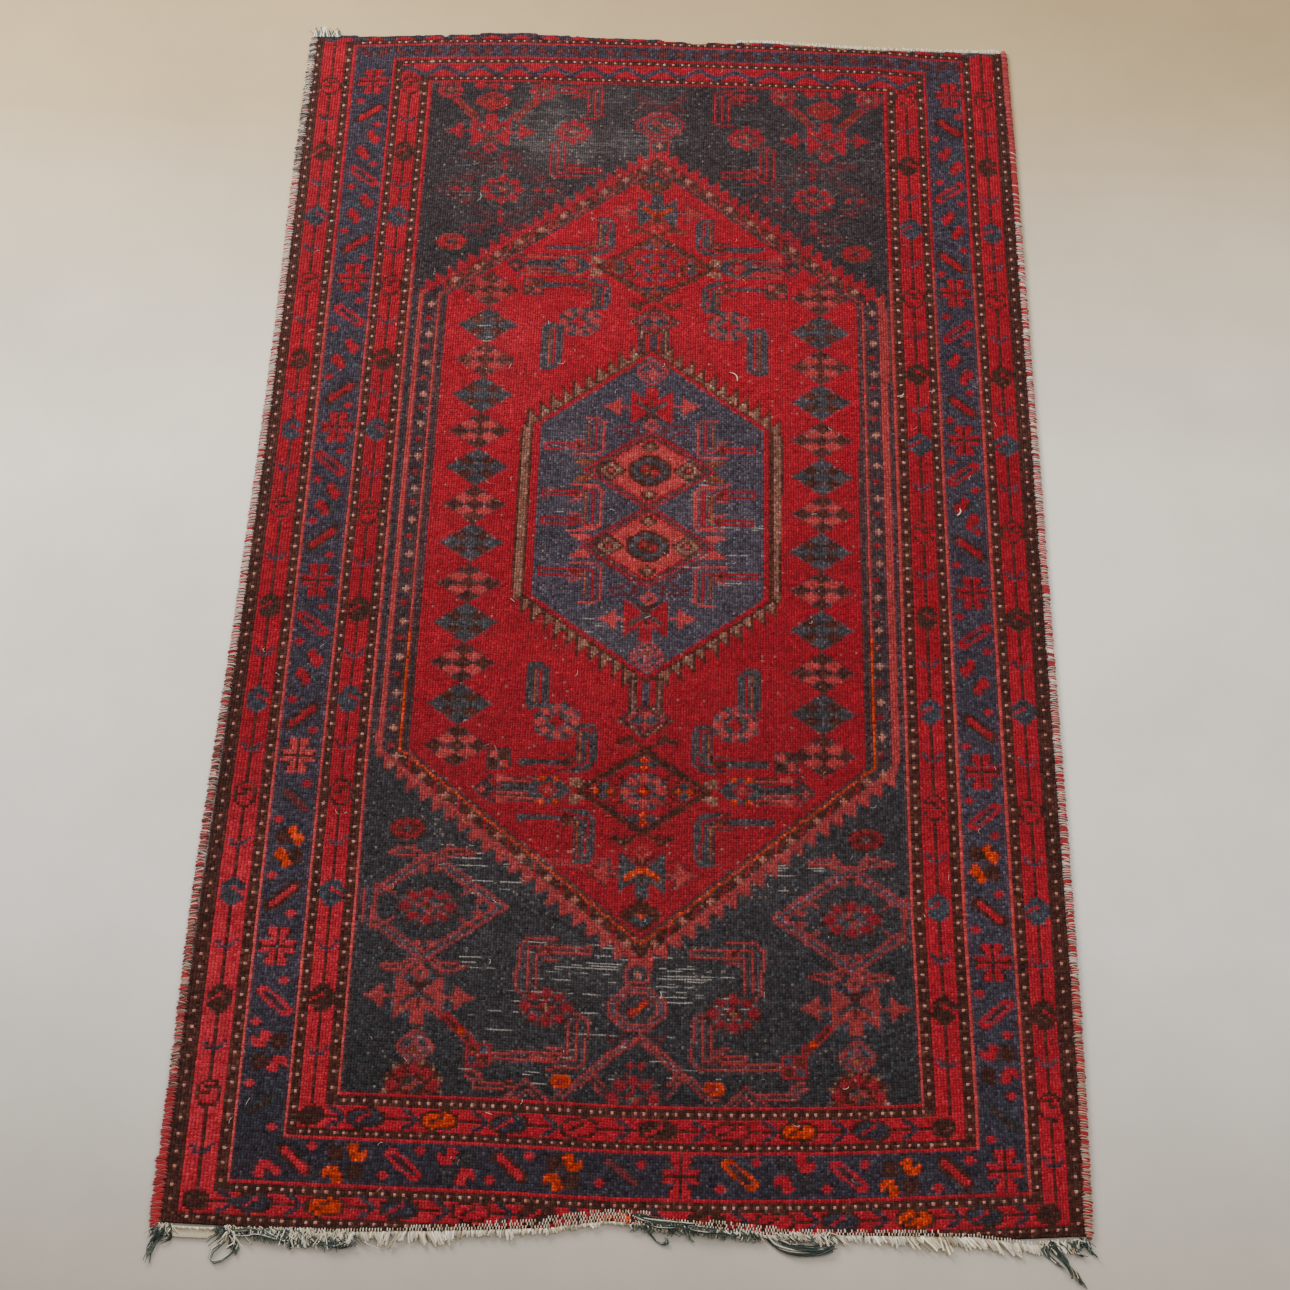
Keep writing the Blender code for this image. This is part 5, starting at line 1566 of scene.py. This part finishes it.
# bundles of strands: how many, how far they spread, how open their end is, and where they run, in mm
GREEN = {
    "green_yarn_corner_left": (
        (7, 0.0022, 1.2, (-622, -6, 5), (-616, 6), (-626, 20), (-632, 34), (-634, 48)),
        (7, 0.003, 1.0, (-628, -2, 4.5), (-620, 10), (-609, 4, 4.5), (-604, 10)),
        (4, 0.0018, 1.4, (-610, -2, 5.5), (-606, 12), (-618, 22))),
    "green_yarn_left": (
        (2, 0.0014, 1.0, (-541, 0, 5.5), (-532, 16), (-548, 34), (-546, 46), (-534, 46), (-520, 32), (-512, 12)),
        (8, 0.003, 1.7, (-524, 4, 5), (-520, 16), (-524, 30)),
        (14, 0.0034, 1.0, (-538, 3, 5), (-515, 8, 5.5), (-490, 5, 6), (-462, 11, 4.5), (-445, 10))),
    "green_yarn_mid_left": (
        (12, 0.0042, 1.2, (-452, 4, 6), (-432, 13), (-406, 10), (-384, 14), (-360, 8, 4.5)),
        (4, 0.0016, 1.3, (-436, 8, 5), (-440, 20), (-446, 26)),
        (4, 0.0018, 1.4, (-378, 4, 6), (-372, 14), (-366, 20))),
    "green_yarn_middle": (
        (12, 0.0034, 0.8, (16, -6, 8.5), (45, 2, 8), (80, 1, 8), (110, 4, 7), (150, 4, 6), (185, 2, 6)),
        (5, 0.0017, 1.0, (36, 2, 7), (40, 14), (52, 24), (62, 22), (60, 16)),
        (4, 0.0016, 1.5, (85, 4, 7), (90, 13), (98, 18)),
        (8, 0.003, 0.9, (20, -8, 8), (70, -4, 9.5), (105, -4, 8.5))),
    "green_yarn_mid_right": (
        (10, 0.003, 1.0, (196, 4, 5.5), (208, 16), (232, 23), (262, 22), (288, 14)),
        (8, 0.0026, 1.0, (214, 10), (240, 17), (276, 18), (292, 10, 4.5))),
    "green_yarn_corner_right": (
        (18, 0.005, 1.0, (574, 2, 6), (584, 16), (602, 36), (611, 56)),
        (7, 0.003, 1.4, (566, 4, 5.5), (574, 20), (590, 30)),
        (6, 0.0026, 1.5, (602, 0, 5.5), (606, 12), (622, 18)),
        (5, 0.0022, 1.5, (618, -4, 6), (626, 10), (634, 20))),
}
# Wool of the securing yarn: a dull bottle green, hairier and duller than the pile.
securing_wool = yarn_material("loose_green_wool", 0.95, 0.25, 0.12, (1300.0, 3.0), (0.6, 1.3), 0.6, 0.0004)
# short ends in each bundle: from x to x, green and cream ones, how far they reach and how they lean
SHAG = {"green_yarn_corner_left": ((-0.630, -0.604, 34, 22, 0.020, -0.2),),
        "green_yarn_left": ((-0.548, -0.500, 50, 8, 0.012, 0.2), (-0.500, -0.446, 90, 26, 0.020, 0.2),
                            (-0.532, -0.520, 10, 22, 0.032, 0.0)),
        "green_yarn_mid_left": ((-0.452, -0.366, 90, 90, 0.027, 0.1),),
        "green_yarn_middle": ((0.014, 0.188, 170, 60, 0.015, 0.1),),
        "green_yarn_mid_right": ((0.204, 0.286, 34, 46, 0.015, 0.6),),
        "green_yarn_corner_right": ((0.566, 0.628, 60, 34, 0.016, 0.4),)}
for seed, (node, paths) in enumerate(GREEN.items()):
    lines = []
    for strands, spread, opening, *places in paths:
        path = [edge_at(*place) for place in places]
        lines += bundle(path, int(2.2 * strands), spread * 1.5, green_colours, open_end=1.5 * opening)
        lines += bundle(path, max(strands // 3, 1), spread * 1.8, warp_colours, 0.0018, open_end=opening)
    for first, last, green, cream, reach, lean in SHAG[node]:
        lines += shag(first, last, green, reach, green_colours, 0.0017, lean=lean)
        lines += shag(first, last, cream, reach, warp_colours, 0.0020, 0.002, lean=lean)
    dress(spun(node + "_loose", lines, securing_wool, 4, 0.0026, 11.0 + seed), node)

# Green and white tufts at the upper left corner.
lines = []
for x in np.arange(-0.620, -0.575, 0.0030):
    edge = end_at(UPPER_END, x)
    for colours in (green_colours, warp_colours):
        root = (x + rng.normal(0.0, 0.001), edge - 0.006, 0.0055)
        tip = (root[0] + rng.normal(-0.004, 0.006), edge + rng.uniform(0.006, 0.022), rng.uniform(0.0016, 0.0034))
        middle = (0.6 * root[0] + 0.4 * tip[0], edge + 0.003, 0.0050)
        lines.append((path_points([root, middle, tip], 8), np.linspace(1.0, 0.7, 8) * 0.0030, pick(colours, 0.12)))
dress(spun("green_yarn_top_left_loose", lines, securing_wool, 5, 0.0015, 23.0), "green_yarn_top_left")

# Loose threads and lint: cream ends of warp and fluff that lie on the pile.
# the largest threads: place on the cartoon, length, thickness and turn
THREADS = ((800, 789, 0.024, 0.0022, 2.2), (1072, 825, 0.014, 0.0020, 0.5), (1160, 1055, 0.016, 0.0022, 1.2),
           (358, 415, 0.022, 0.0006, 1.4), (345, 340, 0.012, 0.0008, 0.4), (512, 772, 0.014, 0.0006, 0.2))


def thread(u, v, turn, long, bend, parts, lie, arch=0.0):
    """Return a bent line that lies on the pile, parts of its length from its middle."""
    x, y = (float(value) for value in on_floor(u, v))
    z = cloth_top(x, y) + lie
    return [(x + long * t * math.cos(turn + bend * t), y + long * t * math.sin(turn + bend * t),
             z + arch * math.sin(3 * t)) for t in parts]


lines = []
for _ in range(120):
    u, v = rng.uniform(60, 1270), rng.uniform(50, 2210)
    turn, long, bend = rng.uniform(0.0, math.pi), rng.uniform(0.003, 0.011), rng.normal(0.0, 0.9)
    lines.append((thread(u, v, turn, long, bend, (-0.5, -0.2, 0.2, 0.5), -0.0001, 0.0002), rng.uniform(0.0003, 0.0006),
                  pick(warp_colours)))
for u, v, long, thick, turn in THREADS:
    lines.append((thread(u, v, turn, long, 0.9, np.linspace(-0.5, 0.5, 7), 0.0004),
                  thick * np.array((0.5, 0.9, 1.0, 0.8, 1.0, 0.7, 0.4)), pick(warp_colours, 0.03)))
dress(spun("loose_threads", lines, warp_cotton, 4, 0.0010, 31.0))

# Stage: a plain pale floor with a painted shadow at its near end, soft daylight from the left and above, and the camera
# at the photograph's place.
floor_mesh = bpy.data.meshes.new("floor")
floor_mesh.from_pydata([(-6, -6, 0), (6, -6, 0), (6, 6, 0), (-6, 6, 0)], [], [(0, 1, 2, 3)])
floor = bpy.data.objects.new("floor", floor_mesh)
bpy.context.scene.collection.objects.link(floor)
pale_floor, tree, shader = new_material("matt_painted_board", 0.85, specular=0.2)
spot_at = add_node(tree, "ShaderNodeTexCoord").outputs["Object"]
split = add_node(tree, "ShaderNodeSeparateXYZ", {0: spot_at})
floor_tone_and_shade = add_node(tree, "ShaderNodeValToRGB", {0: map_range(tree, split.outputs[1], -1.6, 1.6, 0.0, 1.0)})
# the floor's colour along its length: a painted shadow below the rug's near end, lightest in the middle, and darker and
# warmer towards the far end
FLOOR_TONES_AND_SHADE = ((0.05, "968671"), (0.14, "c8beb0"), (0.30, "f4eee6"), (0.55, "fbf3e4"), (0.80, "cbb48c"),
               (1.0, "ad9064"))
while len(floor_tone_and_shade.color_ramp.elements) < len(FLOOR_TONES_AND_SHADE):
    floor_tone_and_shade.color_ramp.elements.new(0.5)
for element, (place_along, value) in zip(floor_tone_and_shade.color_ramp.elements, FLOOR_TONES_AND_SHADE):
    element.position = place_along
    element.color = (*to_linear(value), 1.0)
stains = add_node(tree, "ShaderNodeTexNoise", {"Scale": 2.2, "Detail": 5.0, "Roughness": 0.62, "Vector": spot_at})
tinted = add_node(tree, "ShaderNodeVectorMath", {0: floor_tone_and_shade, "Scale": map_range(tree, stains, 0.35, 0.65, 0.90, 1.03)},
                  operation="SCALE")
tree.links.new(tinted.outputs[0], shader.inputs["Base Color"])
floor_mesh.materials.append(pale_floor)
floor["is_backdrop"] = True


def area_light(name, place, aim, size, watts, colour):
    """Add a soft rectangular light that faces a point."""
    lamp = bpy.data.lights.new(name, "AREA")
    lamp.shape = "RECTANGLE"
    lamp.size, lamp.size_y = size
    lamp.energy = watts
    lamp.color = colour
    light = bpy.data.objects.new(name, lamp)
    light.location = place
    light.rotation_euler = (Vector(aim) - Vector(place)).to_track_quat("-Z", "Y").to_euler()
    bpy.context.scene.collection.objects.link(light)


area_light("window_light", (-2.0, 2.3, 1.9), (0.0, -0.2, 0.0), (1.6, 1.6), 150.0, (1.0, 0.99, 0.97))
area_light("fill_light", (2.4, 0.2, 3.2), (0.1, -0.1, 0.0), (3.0, 3.0), 54.0, (1.0, 0.96, 0.92))
world = bpy.data.worlds.new("soft_room")
world.use_nodes = True
world.node_tree.nodes["Background"].inputs["Color"].default_value = (1.0, 0.97, 0.93, 1.0)
world.node_tree.nodes["Background"].inputs["Strength"].default_value = 0.52
bpy.context.scene.world = world

FOCAL_LENGTH, SENSOR, CAMERA_AT = 69.86, 36.0, (0.0865, -2.1576, 3.2859)
CAMERA_TURN, CAMERA_TILT, CAMERA_ROLL = 0.0390, math.radians(31.398), -0.0153
lens = bpy.data.cameras.new("photo_camera")
lens.lens, lens.sensor_width, lens.sensor_fit = FOCAL_LENGTH, SENSOR, "HORIZONTAL"
camera = bpy.data.objects.new("photo_camera", lens)
turn, tilt, roll = (Matrix.Rotation(angle, 4, axis) for angle, axis in
                    ((CAMERA_TURN, "Z"), (CAMERA_TILT, "X"), (CAMERA_ROLL, "Z")))
camera.matrix_world = Matrix.Translation(CAMERA_AT) @ (turn @ tilt @ roll)
bpy.context.scene.collection.objects.link(camera)
bpy.context.scene.camera = camera

low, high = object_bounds()
